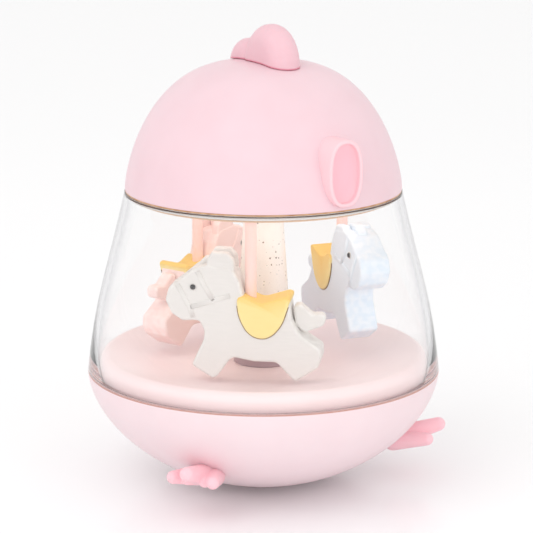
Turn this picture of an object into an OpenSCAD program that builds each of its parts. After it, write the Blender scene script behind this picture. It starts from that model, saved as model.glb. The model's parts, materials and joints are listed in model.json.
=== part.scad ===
// Carousel music box in the shape of a round little bird.
// Origin: centre of the rest face, on the axis that the carousel turns about. +Z is up and the bird
// looks along -Y. All lengths are in millimetres.

/* [Lower body] */
// Widest radius of the body, at the seam between bowl and shell
body_r = 62.5; // [56:0.5:75]
// Height of the seam between bowl and shell
seam_z = 40.8; // [38:0.2:50]
// Wall of the bowl
bowl_wall = 2.8; // [2:0.1:4]
// Radius that the bowl's curve starts from, at the bottom
bowl_foot_r = 6.6; // [4:0.1:10]
// Fullness of the bowl's curve
bowl_power = 1.765; // [1.5:0.005:2.2]
// Thickness of the rest pad
pad_t = 1.2; // [0.8:0.1:2]
// Radius of the rest pad
pad_r = 16.4; // [12:0.2:18]
// Height of the middle of the floor
floor_z = 42.3; // [41:0.1:52]
// Rise of the floor from the middle to its rim
floor_rise = 4.6; // [2:0.1:6]
// Thickness of the floor
floor_t = 2.4; // [1.6:0.1:3]
// Radius of the ballast weight
ballast_r = 27; // [20:0.5:28]
// Thickness of the ballast weight
ballast_t = 7; // [4:0.5:10]

/* [Clear shell and head] */
// Height of the rim where the head meets the shell
rim_z = 105.5; // [104:0.5:118]
// Radius of the head at the rim
rim_r = 48.6; // [47:0.2:56]
// Wall of the clear shell
shell_wall = 2; // [1.5:0.1:2.5]
// Extra wall at the foot of the clear shell
shell_foot = 0.9; // [0:0.1:1.2]
// Outward bulge of the clear shell
shell_bulge = 1.14; // [0:0.02:2]
// Height of the head above the rim
head_h = 44.9; // [44:0.5:54]
// Wall of the head
head_wall = 2.4; // [1.6:0.1:3]
// Fullness of the head's curve at the rim
head_power = 2.92; // [2.4:0.02:3.4]
// Fullness of the head's curve at the top
head_top_power = 1.528; // [1.4:0.01:1.8]
// Thickness of the seal between shell and head
seal_t = 0.5; // [0.3:0.1:1]

/* [Crest, beak and feet] */
// Thickness of the crest
crest_t = 12; // [10:0.5:14]
// Height of the crest's top above the head
crest_h = 13.1; // [10:0.1:16]
// Width of the beak
beak_w = 13.4; // [10:0.2:16]
// Height of the beak
beak_h = 22.6; // [18:0.2:24]
// Distance of the beak's mouth from the axis
beak_y = 51; // [50:0.2:58]
// Height of the beak's middle above the rim
beak_up = 12.7; // [12:0.1:16]
// Thickness of the beak's lip
beak_lip = 1.3; // [1:0.1:2]
// Angle of each foot from straight ahead, in degrees
foot_angle = 57; // [40:1:70]
// Diameter of a toe
toe_d = 5; // [4:0.1:6]

/* [Carousel] */
// Radius of the circle that the poles stand on
pole_ring_r = 30.4; // [27:0.2:33]
// Diameter of a pole
pole_d = 4; // [3:0.1:5]
// Radius of the turning plate
plate_r = 44.5; // [38:0.5:45]
// Thickness of the turning plate
plate_t = 2.5; // [2:0.1:4]
// Thickness of a horse
horse_t = 11.4; // [9:0.2:13]
// Radius of the column at the floor
column_r = 10.7; // [9:0.1:13]
// Radius of the column where it is seen to end, near the plate
column_top_r = 6.8; // [6:0.1:9]

/* [Movement] */
// Diameter of the winding stem
stem_d = 4; // [3:0.1:5]
// Diameter of the output shaft
shaft_d = 6; // [5:0.1:7]
// Module of the crown teeth and of the cylinder's pinion
crown_module = 0.8; // [0.7:0.05:0.9]
// Module of the governor's gears
fine_module = 0.4; // [0.35:0.01:0.42]
// Radius of the pinned cylinder
drum_r = 5.2; // [4:0.1:5.4]
// Number of notes on the comb
notes = 18; // [12:1:18]
// Distance from one note to the next
note_pitch = 0.75; // [0.6:0.01:0.78]
// Thickness of the bedplate
bed_t = 2; // [1.5:0.1:3]

/* [Fits] */
// Radial clearance of a running fit
run_fit = 0.05; // [0.02:0.01:0.1]
// Gap between pieces that pass each other
free_gap = 0.4; // [0.3:0.05:0.6]
// Backlash of the crown gear
crown_backlash = 0.26; // [0.2:0.01:0.35]
// Backlash of the governor's gears
fine_backlash = 0.14; // [0.1:0.01:0.2]

/* [Hidden] */
$fn = 48;
HULL_FN = 32;
CURVE_STEPS = 22;

PINK = "#f3dbe2";
PALE_PINK = "#f5e4e7";
CREST_PINK = "#f0ced5";
BEAK_PINK = "#fdc8d0";
FOOT_PINK = "#ffccd4";
CREAM = "#e9dccd";
YELLOW = "#f7d87c";
POLE_PINK = "#f6d2c8";
GOLD = "#c89870";
STEEL = "#b8bcc2";
BRASS = "#d0ac5c";
ZINC = "#9a9ea4";

// ---- Bowl, floor and ballast: derived places ----
bowl_bottom_z = pad_t;
bowl_inside_z = pad_t + 2.2;
boss_r = 9;
boss_top_z = bowl_inside_z + 5.6;
tie_d = 4;
tie_head_r = 3.8;
tie_head_h = 2.4;
tie_head_z = bowl_bottom_z + 1.2;
tie_top_z = floor_z + 16;
skirt_bottom_z = seam_z - 4.5;
// The floor's skirt passes the shell's wall at the floor's rim and the bowl's wall at the ledge
skirt_r = min(shell_inner_r(floor_z + floor_rise) - 0.6, bowl_inner_r(skirt_bottom_z) - 0.1);
floor_edge_r = 1.6;
floor_flat_r = column_r + 3.5;
ledge_w = 3.2;
ballast_screw_ring = ballast_r * 0.74;
ballast_screw_d = 3;

// ---- Heights above the rim ----
head_top_z = rim_z + head_h;
spigot_h = 4.5;
spigot_gap = 0.15;
spigot_r = rim_r - head_wall - spigot_gap;
spigot_wall = 2.1;
plate_top_z = rim_z - 0.9;
plate_z = plate_top_z - plate_t;
bed_z = rim_z + 22.5;
bed_top_z = bed_z + bed_t;

// ---- Crown gear, pinion and cylinder ----
CROWN_TEETH = 32;
PINION_TEETH = 12;
WHEEL_TEETH = 30;
GOVERNOR_PINION_TEETH = 10;
GOVERNOR_WHEEL_TEETH = 24;
FAN_TEETH = 8;
PRESSURE_ANGLE = 20;
ADDENDUM = 0.85;
DEDENDUM = 1.2;
crown_r = crown_module * CROWN_TEETH / 2;
crown_face = 1.6;
pinion_pitch_r = crown_module * PINION_TEETH / 2;
arbor_z = bed_z - 7.5;
crown_pitch_z = arbor_z - pinion_pitch_r;
barrel_floor_z = crown_pitch_z - DEDENDUM * crown_module;
barrel_bottom_z = barrel_floor_z - 2.2;
barrel_neck_z = barrel_bottom_z - 3.8;
barrel_r = crown_r - 2.4;
barrel_wall = 0.8;
barrel_flange_r = crown_r + crown_face / 2 + 0.9;
cover_z = bed_z - 3.4;
cover_t = 1;
ratchet_z = cover_z + cover_t + free_gap;
ratchet_t = 1.2;
ratchet_r = 6;
RATCHET_TEETH = 16;

arbor_d = 2;
inner_bridge_x = barrel_flange_r + 0.5;
bridge_t = 1;
pinion_x = barrel_r + 0.6;
pinion_face = inner_bridge_x - 0.4 - pinion_x;
drum_x = inner_bridge_x + bridge_t + 0.5;
drum_len = notes * note_pitch + 0.4;
wheel_x = drum_x + drum_len + 0.4;
wheel_t = 1;
governor_y = fine_module * (WHEEL_TEETH + GOVERNOR_PINION_TEETH) / 2 + 0.05;
governor_wheel_x = wheel_x + wheel_t + 0.5;
fan_y = governor_y + fine_module * (GOVERNOR_WHEEL_TEETH + FAN_TEETH) / 2 + 0.05;
outer_bridge_x = governor_wheel_x + 1.4;
fine_arbor_d = 1.2;
pin_r = 0.15;
pin_h = 0.6;
comb_y = -(drum_r + pin_h + 0.3);
comb_t = 0.6;
comb_z = arbor_z - comb_t / 2;

// ---- Screws of the movement: one size throughout ----
screw_d = 2;
screw_len = 5;
screw_head_r = 1.9;
screw_head_h = 1.3;
post_r = 3;
POSTS = [[-19, 13], [-19, -13], [24.5, 17], [24.5, -11]];
bridge_screw_y = [12.2, -7.6];
inner_screw_x = inner_bridge_x + bridge_t + 2.2;
outer_screw_x = outer_bridge_x - 2.2;
bracket_x = drum_x - 0.2;
bracket_len = drum_len + 0.4;
BRACKET_Y = -18.5;
bracket_w = 5;
bracket_screw_y = BRACKET_Y + bracket_w / 2;
bracket_screw_x = [bracket_x + 4.9, bracket_x + bracket_len - 4.9];
click_at = [-11.6, -7.4];

// ---- Carousel ----
shaft_bottom_z = plate_z - 8;
bush_r = shaft_d / 2 + 1.6;
column_top_z = shaft_bottom_z + 4.2;
bush_z = column_top_z - 5;
socket_h = 2.2;
stud_d = 3;
nut_h = 2;
HORSE_NAMES = ["white", "blue", "pink"];
HORSE_ANGLES = [-41, 79, -161];
HORSE_LIFTS = [3.3, 8.7, 4.8];
pole_depth_z = 15.5;

// ---------------------------------------------------------------- profiles
// Radius of the bowl's outer or inner face at height z, between its bottom z0 and the seam
function bowl_curve(z, z0, r0, r1) =
    r0 + (r1 - r0) * pow(1 - pow(1 - (z - z0) / (seam_z - z0), bowl_power), 1 / bowl_power);
function bowl_r(z) = bowl_curve(z, 0, bowl_foot_r, body_r);
function bowl_inner_r(z) = bowl_curve(z, bowl_inside_z, bowl_foot_r - 3, body_r - bowl_wall);

// Radius of the clear shell's outer face: a straight taper with a slight bulge low down
function shell_r(z) =
    let (t = (z - seam_z) / (rim_z - seam_z))
    body_r + (rim_r - body_r) * t + 2 * shell_bulge * (1 - t) * sin(180 * t);

// Radius of its inner face: the wall thickens towards the foot
function shell_inner_r(z) =
    shell_r(z) - shell_wall - shell_foot * pow(max(0, 1 - (z - seam_z) / (rim_z - seam_z)), 9);

// Radius of the head at height z for a head of rim radius r and height h
function head_curve(z, r, h) =
    r * pow(max(0, 1 - pow(max(0, z - rim_z) / h, head_top_power)), 1 / head_power);
function head_r(z) = head_curve(z, rim_r, head_h);

// n + 1 values from a to b, packed closer towards b
function toward(a, b, n) = [for (i = [0:n]) a + (b - a) * sin(90 * i / n)];
// n + 1 values from a to b, packed closer towards a
function from(a, b, n) = [for (i = [0:n]) a + (b - a) * (1 - cos(90 * i / n))];
function even(a, b, n) = [for (i = [0:n]) a + (b - a) * i / n];
function reversed(v) = [for (i = [len(v) - 1:-1:0]) v[i]];

// One pass of corner cutting on a closed outline
function cut_corners(p) = [
    for (i = [0:len(p) - 1])
        let (q = p[(i + 1) % len(p)])
        each [p[i] * 0.78 + q * 0.22, p[i] * 0.22 + q * 0.78]
];

module head_solid(r, h) {
    rotate_extrude()
        polygon(concat([[0, rim_z]], [for (z = toward(rim_z, rim_z + h, CURVE_STEPS)) [head_curve(z, r, h), z]]));
}

// ---------------------------------------------------------------- gears
function inv_angle(t) = t * 180 / PI - atan(t);

// Outline of one side of a tooth from the root to the tip: an involute above its base circle
function flank(m, n, backlash, side) =
    let (
        pitch = m * n / 2,
        base = pitch * cos(PRESSURE_ANGLE),
        root = pitch - DEDENDUM * m,
        tip = pitch + ADDENDUM * m,
        half = (PI * m / 2 - backlash) / 2 / pitch * 180 / PI,
        at_pitch = inv_angle(tan(PRESSURE_ANGLE)),
        start = max(root, base),
        radii = [for (k = [0:4]) start + (tip - start) * k / 4],
        involute = [
            for (r = radii)
                let (a = half + at_pitch - inv_angle(sqrt(max(0, r * r / (base * base) - 1))))
                [r * cos(side * a), r * sin(side * a)]
        ],
        foot_a = half + at_pitch
    )
    root < base ? concat([[root * cos(side * foot_a), root * sin(side * foot_a)]], involute) : involute;

module gear_outline(m, n, backlash) {
    tooth = concat(flank(m, n, backlash, -1), reversed(flank(m, n, backlash, 1)));
    step = 360 / n;
    polygon([
        for (i = [0:n - 1])
            each [
                for (p = tooth)
                    [p[0] * cos(i * step) - p[1] * sin(i * step), p[0] * sin(i * step) + p[1] * cos(i * step)]
            ]
    ]);
}

// Lays a shape drawn flat across the X axis, its thickness along +X, with its middle at (x, y, arbor_z)
module across(x, y = 0) {
    translate([x, y, arbor_z]) rotate([90, 0, 90]) children();
}

module gear(x, y, m, n, backlash, t, turn) {
    across(x, y) linear_extrude(t) rotate(turn) gear_outline(m, n, backlash);
}

// A screw whose head rests on z = 0 and whose shank runs down
module screw(d, length, head_r, head_h) {
    translate([0, 0, -length]) cylinder(d = d, h = length);
    difference() {
        cylinder(r = head_r, h = head_h);
        translate([-head_r * 2, -head_r * 0.15, head_h * 0.6]) cube([head_r * 4, head_r * 0.3, head_h]);
    }
}

// ---------------------------------------------------------------- lower body
module bowl_outside() {
    rotate_extrude()
        polygon(concat(
            [[0, bowl_bottom_z]],
            [for (z = from(bowl_bottom_z, seam_z, CURVE_STEPS)) [bowl_r(z), z]],
            [[0, seam_z]]
        ));
}

module base_bowl() {
    inner = concat([[0, bowl_inside_z]], [for (z = from(bowl_inside_z, seam_z, CURVE_STEPS)) [bowl_inner_r(z), z]]);
    color(PALE_PINK)
        difference() {
            union() {
                difference() {
                    bowl_outside();
                    rotate_extrude() polygon(concat(inner, [[bowl_inner_r(seam_z), seam_z + 1], [0, seam_z + 1]]));
                }
                translate([0, 0, bowl_bottom_z]) cylinder(r = boss_r, h = boss_top_z - bowl_bottom_z);
                intersection() {
                    bowl_outside();
                    union() {
                        ballast_places() translate([0, 0, bowl_bottom_z]) cylinder(r = 3.2, h = boss_top_z - bowl_bottom_z);
                        foot_places() foot_boss();
                        ledge();
                    }
                }
            }
            cylinder(d = tie_d + 0.4, h = boss_top_z + 1);
            cylinder(r = tie_head_r + 0.4, h = tie_head_z + tie_head_h);
            ballast_places()
                translate([0, 0, boss_top_z - 4]) cylinder(d = ballast_screw_d, h = 5);
            foot_places() foot_screw_hole();
        }
}

// Ring inside the bowl that the floor's skirt stands on
module ledge() {
    rotate_extrude()
        polygon([
            [skirt_r - ledge_w, skirt_bottom_z - 1.2], [body_r, skirt_bottom_z - 1.2 - ledge_w * 1.6],
            [body_r, skirt_bottom_z], [skirt_r - ledge_w, skirt_bottom_z]
        ]);
}

module ballast_places() {
    for (a = [90:120:330]) rotate(a) translate([ballast_screw_ring, 0, 0]) children();
}

// Frames whose +X runs outwards along each foot; the bird's left foot is on +X
module foot_places() {
    for (side = [-1, 1]) foot_place(side) children();
}

module foot_place(side) {
    rotate(-90 + side * foot_angle) children();
}

foot_screw_z = 14;
foot_screw_len = 16;
foot_wall_r = bowl_r(foot_screw_z);
foot_boss_x = foot_wall_r - 11;
foot_boss_len = 12;

module foot_boss() {
    translate([foot_boss_x, 0, foot_screw_z]) rotate([0, 90, 0]) cylinder(r = 3.4, h = foot_boss_len);
}

module foot_screw_hole() {
    translate([foot_boss_x - 1, 0, foot_screw_z]) rotate([0, 90, 0]) cylinder(d = screw_d + 0.3, h = 24);
}

module rest_pad() {
    color("#d8c6ca") cylinder(r = pad_r, h = pad_t);
}

module ballast_weight() {
    color(ZINC)
        translate([0, 0, boss_top_z])
            difference() {
                cylinder(r = ballast_r, h = ballast_t);
                translate([0, 0, -1]) cylinder(d = tie_d + 0.4, h = ballast_t + 2);
                ballast_places() translate([0, 0, -1]) cylinder(d = ballast_screw_d, h = ballast_t + 2);
            }
}

module ballast_screws() {
    color(STEEL)
        ballast_places() translate([0, 0, boss_top_z + ballast_t]) screw(ballast_screw_d, ballast_t + 3.6, 2.8, 1.8);
}

module tie_screw() {
    color(STEEL) {
        translate([0, 0, tie_head_z + tie_head_h]) mirror([0, 0, 1]) screw(tie_d, 0.5, tie_head_r, tie_head_h);
        translate([0, 0, tie_head_z + tie_head_h]) cylinder(d = tie_d, h = tie_top_z - tie_head_z - tie_head_h);
    }
}

// Height of the floor's upper face at radius r: flat round the column, then a rising dish
function floor_top(r) =
    let (t = max(0, r - floor_flat_r) / (skirt_r - floor_edge_r - floor_flat_r))
    floor_z + floor_rise * pow(t, 2.2);

module floor_dish() {
    flat_top = skirt_r - floor_edge_r;
    top = [for (r = even(floor_flat_r, flat_top, 14)) [r, floor_top(r)]];
    edge = [
        for (a = [75:-15:0])
            [flat_top + floor_edge_r * cos(a), floor_z + floor_rise - floor_edge_r + floor_edge_r * sin(a)]
    ];
    under = [for (r = reversed(even(floor_flat_r, flat_top - 1, 10))) [r, floor_top(r) - floor_t]];
    color(PALE_PINK)
        difference() {
            union() {
                rotate_extrude()
                    polygon(concat(
                        [[0, floor_z]], top, edge,
                        [[skirt_r, skirt_bottom_z], [skirt_r - 2, skirt_bottom_z], [skirt_r - 2, floor_z]],
                        under, [[0, floor_z - floor_t]]
                    ));
                translate([0, 0, boss_top_z + ballast_t])
                    cylinder(r = 6.5, h = floor_z - floor_t / 2 - boss_top_z - ballast_t);
            }
            translate([0, 0, boss_top_z]) cylinder(d = tie_d + 0.4, h = floor_z);
        }
}

module column() {
    color(CREAM)
        difference() {
            translate([0, 0, floor_z]) cylinder(r1 = column_r, r2 = column_top_r, h = column_top_z - floor_z);
            translate([0, 0, floor_z - 1]) cylinder(d = tie_d, h = tie_top_z - floor_z + 1);
            translate([0, 0, bush_z]) cylinder(r = bush_r, h = column_top_z);
        }
}

module column_bush() {
    color(BRASS)
        difference() {
            union() {
                translate([0, 0, bush_z]) cylinder(r = bush_r, h = column_top_z - bush_z);
                translate([0, 0, column_top_z]) cylinder(r = bush_r + 1, h = 0.8);
            }
            translate([0, 0, bush_z - 1]) cylinder(d = shaft_d + 2 * run_fit, h = 8);
        }
}

// ---------------------------------------------------------------- clear shell and head
module clear_shell() {
    shoulder_z = rim_z - seal_t;
    outer = [for (z = even(seam_z, shoulder_z, CURVE_STEPS)) [shell_r(z), z]];
    inner = [for (z = reversed(even(seam_z, shoulder_z - 1, CURVE_STEPS))) [shell_inner_r(z), z]];
    color([0.92, 0.94, 0.96, 0.35])
        rotate_extrude()
            polygon(concat(
                outer,
                [
                    [spigot_r, shoulder_z], [spigot_r, rim_z + spigot_h],
                    [spigot_r - spigot_wall, rim_z + spigot_h], [spigot_r - spigot_wall, shoulder_z]
                ],
                inner
            ));
}

module rim_seal() {
    color(GOLD)
        rotate_extrude()
            translate([spigot_r + 0.1, rim_z - seal_t]) square([rim_r - 0.1 - spigot_r, seal_t]);
}

module head_dome() {
    inner_r = rim_r - head_wall;
    inner_h = head_h - head_wall;
    color(PINK)
        difference() {
            union() {
                difference() {
                    head_solid(rim_r, head_h);
                    head_solid(inner_r, inner_h);
                    translate([0, 0, rim_z - 1]) cylinder(r = inner_r, h = spigot_h + 1 + free_gap);
                }
                intersection() {
                    head_solid(rim_r, head_h);
                    union() {
                        for (p = POSTS)
                            translate([p[0], p[1], bed_top_z]) cylinder(r = post_r, h = head_h);
                        translate([0, 0, head_top_z - stem_bush_depth]) cylinder(r = 6.4, h = stem_bush_depth + 1);
                    }
                }
            }
            for (p = POSTS) translate([p[0], p[1], bed_top_z - 1]) cylinder(d = screw_d, h = screw_len);
            translate([0, 0, bed_top_z]) cylinder(d = stem_d + 2 * free_gap, h = head_h);
            translate([0, 0, bed_top_z])
                cylinder(r = stem_bush_r, h = head_top_z - stem_bush_depth + stem_bush_h - bed_top_z);
            translate([0, 0, beak_z]) oval_block(beak_hole_w, beak_hole_h, -beak_y - 5, -spigot_r - free_gap);
        }
}

stem_bush_r = stem_d / 2 + 1.8;
stem_bush_depth = 7.4;
stem_bush_h = 5;

module stem_bush() {
    color(BRASS)
        translate([0, 0, head_top_z - stem_bush_depth])
            difference() {
                cylinder(r = stem_bush_r, h = stem_bush_h);
                translate([0, 0, -1]) cylinder(d = stem_d + 2 * run_fit, h = 7);
            }
}

// An oval block: w wide, h tall, its faces at y0 and y1
module oval_block(w, h, y0, y1) {
    translate([-w / 2, y0, -(h - w) / 2]) cube([w, y1 - y0, h - w]);
    for (s = [-1, 1])
        translate([0, y1, s * (h - w) / 2]) rotate([90, 0, 0]) cylinder(d = w, h = y1 - y0);
}

beak_z = rim_z + beak_up;
beak_floor_t = 0.8;
beak_recess = beak_y - (spigot_r + free_gap) - beak_floor_t;
beak_hole_w = beak_w - 2 * beak_lip + 1.4;
beak_hole_h = beak_h - 2 * beak_lip + 1.4;

// An open oval cup: its rim stands proud of the head and its foot fills the oval hole in the head
module beak() {
    color(BEAK_PINK)
        translate([0, 0, beak_z])
            difference() {
                union() {
                    difference() {
                        union() {
                            oval_block(beak_w, beak_h, 1 - beak_y, -head_r(beak_z + beak_h / 2) + 3);
                            oval_block(beak_w - 1, beak_h - 1, -beak_y, 2 - beak_y);
                        }
                        translate([0, 0, -beak_z]) head_solid(rim_r, head_h);
                    }
                    oval_block(beak_hole_w, beak_hole_h, 2 - beak_y, -spigot_r - free_gap);
                }
                oval_block(beak_w - 2 * beak_lip, beak_h - 2 * beak_lip, -beak_y - 1, beak_recess - beak_y);
            }
}

// One toe: a tapering finger from p to q
module toe(p, q, d0, d1) {
    hull() {
        translate(p) sphere(d = d0, $fn = HULL_FN);
        translate(q) sphere(d = d1, $fn = HULL_FN);
    }
}

// A foot, drawn in a frame whose +X runs outwards from the bowl
module foot() {
    root_x = foot_wall_r + 1.2;
    tip_x = body_r + 0.4;
    color(FOOT_PINK)
        difference() {
            union() {
                toe([root_x, 0, 13.8], [tip_x, 0, 18.8], toe_d + 3, toe_d);
                toe([root_x, 2.4, 13.4], [tip_x - 4.6, 7.6, 15.4], toe_d + 2.4, toe_d - 0.4);
                toe([root_x, -2.4, 13.4], [tip_x - 4.6, -7.6, 15.4], toe_d + 2.4, toe_d - 0.4);
            }
            rotate(90) bowl_outside();
            translate([0, 0, foot_screw_z]) rotate([0, 90, 0]) cylinder(d = screw_d, h = foot_wall_r + 6);
        }
}

module left_foot() {
    foot_place(1) foot();
}

module right_foot() {
    foot_place(-1) foot();
}

module foot_screws() {
    color(STEEL)
        foot_places()
            translate([foot_boss_x, 0, foot_screw_z])
                rotate([0, -90, 0]) screw(screw_d, foot_screw_len, screw_head_r, screw_head_h);
}

// ---------------------------------------------------------------- movement: fixed pieces
module movement_bedplate() {
    color(ZINC)
        difference() {
            translate([0, 0, bed_z])
                intersection() {
                    cylinder(r = 36.5, h = bed_t);
                    translate([-24, -19, 0]) cube([62, 38, bed_t]);
                }
            translate([0, 0, bed_z - 1]) cylinder(d = stem_d + 2 * run_fit, h = bed_t + 2);
            bed_screw_places() translate([0, 0, -3]) cylinder(d = screw_d, h = bed_t + 6);
        }
}

// Every screw place in the bedplate, at the bedplate's lower face
module bed_screw_places() {
    for (p = POSTS) translate([p[0], p[1], bed_z]) children();
    bridge_screw_places() children();
    for (x = bracket_screw_x) translate([x, bracket_screw_y, bed_z]) children();
    translate([click_at[0], click_at[1], bed_z]) children();
}

module bridge_screw_places() {
    for (x = [inner_screw_x, outer_screw_x])
        for (y = bridge_screw_y) translate([x, y, bed_z]) children();
}

module movement_screw() {
    screw(screw_d, screw_len, screw_head_r, screw_head_h);
}

module movement_screws() {
    color(STEEL) {
        for (p = POSTS) translate([p[0], p[1], bed_z]) mirror([0, 0, 1]) movement_screw();
        bridge_screw_places() translate([0, 0, bed_t]) movement_screw();
        for (x = bracket_screw_x) translate([x, bracket_screw_y, bed_top_z]) movement_screw();
        for (x = comb_screw_x) translate([x, bracket_screw_y, comb_z]) mirror([0, 0, 1]) movement_screw();
        translate([click_at[0], click_at[1], ratchet_z]) mirror([0, 0, 1]) movement_screw();
    }
}

comb_screw_x = [bracket_x + 2.2, bracket_x + bracket_len / 2, bracket_x + bracket_len - 2.2];

// Upright plate with two feet under the bedplate; side is +1 when the feet run towards +X
module bridge(x, side) {
    foot_l = 5;
    foot_h = 1.8;
    foot_x = side > 0 ? x : x + bridge_t - foot_l;
    difference() {
        union() {
            translate([x, -9.8, bed_z - 11.5]) cube([bridge_t, 27.2, 11.5]);
            for (y = bridge_screw_y)
                translate([foot_x, y - 2.2, bed_z - foot_h]) cube([foot_l, 4.4, foot_h]);
        }
        across(x - 1) cylinder(d = arbor_d + 2 * run_fit, h = bridge_t + 2);
        across(x - 1, governor_y) cylinder(d = fine_arbor_d + 2 * run_fit, h = bridge_t + 2);
        across(x - 1, fan_y) cylinder(d = fine_arbor_d + 2 * run_fit, h = bridge_t + 2);
        bridge_screw_places() translate([0, 0, -4]) cylinder(d = screw_d, h = 6);
    }
}

module inner_bridge() {
    color(BRASS) bridge(inner_bridge_x, 1);
}

module outer_bridge() {
    color(BRASS) bridge(outer_bridge_x, -1);
}

module comb_bracket() {
    color(ZINC)
        difference() {
            translate([bracket_x, BRACKET_Y, comb_z + comb_t])
                cube([bracket_len, bracket_w, bed_z - comb_z - comb_t]);
            for (x = bracket_screw_x) translate([x, bracket_screw_y, bed_z - 3.5]) cylinder(d = screw_d, h = 5);
            for (x = comb_screw_x) translate([x, bracket_screw_y, comb_z - 1]) cylinder(d = screw_d, h = 6);
        }
}

function note_x(i) = drum_x + 0.55 + i * note_pitch;

// Steel comb: a bar and one tooth a note, the low notes long and the high ones short
module reed_comb() {
    reed_w = note_pitch - 0.22;
    color(STEEL)
        difference() {
            translate([0, 0, comb_z])
                linear_extrude(comb_t) {
                    polygon([
                        [bracket_x, BRACKET_Y], [bracket_x + bracket_len, BRACKET_Y],
                        [bracket_x + bracket_len, comb_y - 3.4], [bracket_x, comb_y - 6.6]
                    ]);
                    for (i = [0:notes - 1])
                        translate([note_x(i) - reed_w / 2, comb_y - 7]) square([reed_w, 7]);
                }
            for (x = comb_screw_x) translate([x, bracket_screw_y, comb_z - 1]) cylinder(d = screw_d, h = 3);
        }
}

module ratchet_click() {
    tip = [-(ratchet_r + 0.45) * cos(8), (ratchet_r + 0.45) * sin(8)];
    color(STEEL)
        difference() {
            union() {
                translate([click_at[0], click_at[1], ratchet_z]) cylinder(r = 2.2, h = bed_z - ratchet_z);
                translate([0, 0, ratchet_z])
                    linear_extrude(ratchet_t)
                        polygon([click_at + [-1.2, 1.4], click_at + [1.8, 0.6], tip, tip + [-0.9, 0.3]]);
            }
            translate([click_at[0], click_at[1], ratchet_z - 1]) cylinder(d = screw_d, h = 6);
        }
}

// ---------------------------------------------------------------- winder
// The front lobe is the tall one; the rear lobe is low, with a crease between them
module crest_knob() {
    half = crest_t / 2;
    lobe_y = -5.4;
    lobe_z = head_top_z - 1.6;
    color(CREST_PINK)
        difference() {
            union() {
                hull()
                    for (a = [0:30:180])
                        crest_ball(lobe_y - 6.4 * cos(a), lobe_z + (crest_h + 1.6 - half) * sin(a), half);
                hull()
                    for (a = [0:45:180])
                        crest_ball(8.4 - 3.8 * cos(a), head_top_z - 3 + 3.8 * sin(a), half - 0.6);
            }
            head_solid(rim_r + free_gap, head_h + free_gap);
            translate([0, 0, head_top_z - 5]) cylinder(d = stem_d, h = 5 + crest_socket);
        }
}

crest_socket = 6;

module crest_ball(y, z, r) {
    translate([0, y, z]) sphere(r = r, $fn = HULL_FN);
}

stem_pivot_d = stem_d - 1;

module winding_stem() {
    color(STEEL) {
        translate([0, 0, barrel_floor_z + 0.3])
            cylinder(d = stem_d, h = head_top_z + crest_socket - barrel_floor_z - 0.3);
        translate([0, 0, barrel_floor_z - 1.4]) cylinder(d = stem_pivot_d, h = 2);
    }
}

module ratchet_wheel() {
    step = 360 / RATCHET_TEETH;
    color(BRASS)
        translate([0, 0, ratchet_z])
            linear_extrude(ratchet_t)
                difference() {
                    polygon([
                        for (i = [0:RATCHET_TEETH - 1])
                            each [
                                ratchet_r * [cos(i * step), sin(i * step)],
                                (ratchet_r - 1) * [cos(i * step + 2), sin(i * step + 2)]
                            ]
                    ]);
                    circle(d = stem_d);
                }
}

// ---------------------------------------------------------------- carousel
module spring_barrel() {
    tooth_t = PI * crown_module / 2 - crown_backlash;
    slope = tan(PRESSURE_ANGLE);
    up = ADDENDUM * crown_module;
    down = DEDENDUM * crown_module;
    color(BRASS)
        difference() {
            union() {
                translate([0, 0, barrel_bottom_z]) cylinder(r = barrel_flange_r, h = barrel_floor_z - barrel_bottom_z);
                translate([0, 0, barrel_neck_z]) cylinder(d = shaft_d + 6, h = 4);
                translate([0, 0, barrel_bottom_z]) cylinder(r = barrel_r, h = cover_z - barrel_bottom_z);
                for (i = [0:CROWN_TEETH - 1])
                    rotate(i * 360 / CROWN_TEETH)
                        translate([crown_r - crown_face / 2, 0, crown_pitch_z])
                            rotate([90, 0, 90])
                                linear_extrude(crown_face)
                                    polygon([
                                        [-tooth_t / 2 - (down + 0.3) * slope, -down - 0.3],
                                        [tooth_t / 2 + (down + 0.3) * slope, -down - 0.3],
                                        [tooth_t / 2 - up * slope, up], [-tooth_t / 2 + up * slope, up]
                                    ]);
            }
            translate([0, 0, barrel_floor_z]) cylinder(r = barrel_r - barrel_wall, h = cover_z);
            translate([0, 0, barrel_floor_z - 1.6]) cylinder(d = stem_pivot_d + 2 * run_fit, h = 4);
            translate([0, 0, barrel_neck_z - 1]) cylinder(d = shaft_d, h = 4.6);
        }
}

module barrel_cover() {
    color(BRASS)
        translate([0, 0, cover_z])
            difference() {
                cylinder(r = barrel_r, h = cover_t);
                translate([0, 0, -1]) cylinder(d = stem_d + 2 * run_fit, h = cover_t + 2);
            }
}

// Flat coiled strip: the radius falls evenly with the angle
module mainspring() {
    coils = 3.5;
    outer = barrel_r - barrel_wall - 0.1;
    inner = stem_d / 2 + 1.4;
    strip = 0.35;
    n = 84;
    path = [for (i = [0:n]) [outer - strip - (outer - strip - inner) * i / n, 360 * coils * i / n]];
    color(STEEL)
        translate([0, 0, barrel_floor_z + 0.4])
            linear_extrude(cover_z - barrel_floor_z - 0.8)
                polygon(concat(
                    [for (p = path) (p[0] + strip) * [cos(p[1]), sin(p[1])]],
                    [for (p = reversed(path)) p[0] * [cos(p[1]), sin(p[1])]]
                ));
}

module output_shaft() {
    color(STEEL)
        translate([0, 0, shaft_bottom_z]) cylinder(d = shaft_d, h = barrel_neck_z + 3.6 - shaft_bottom_z);
}

hub_screw_ring = shaft_d / 2 + 5;

module hub_screw_places() {
    for (a = [30:120:270]) rotate(a) translate([hub_screw_ring, 0, 0]) children();
}

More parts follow.
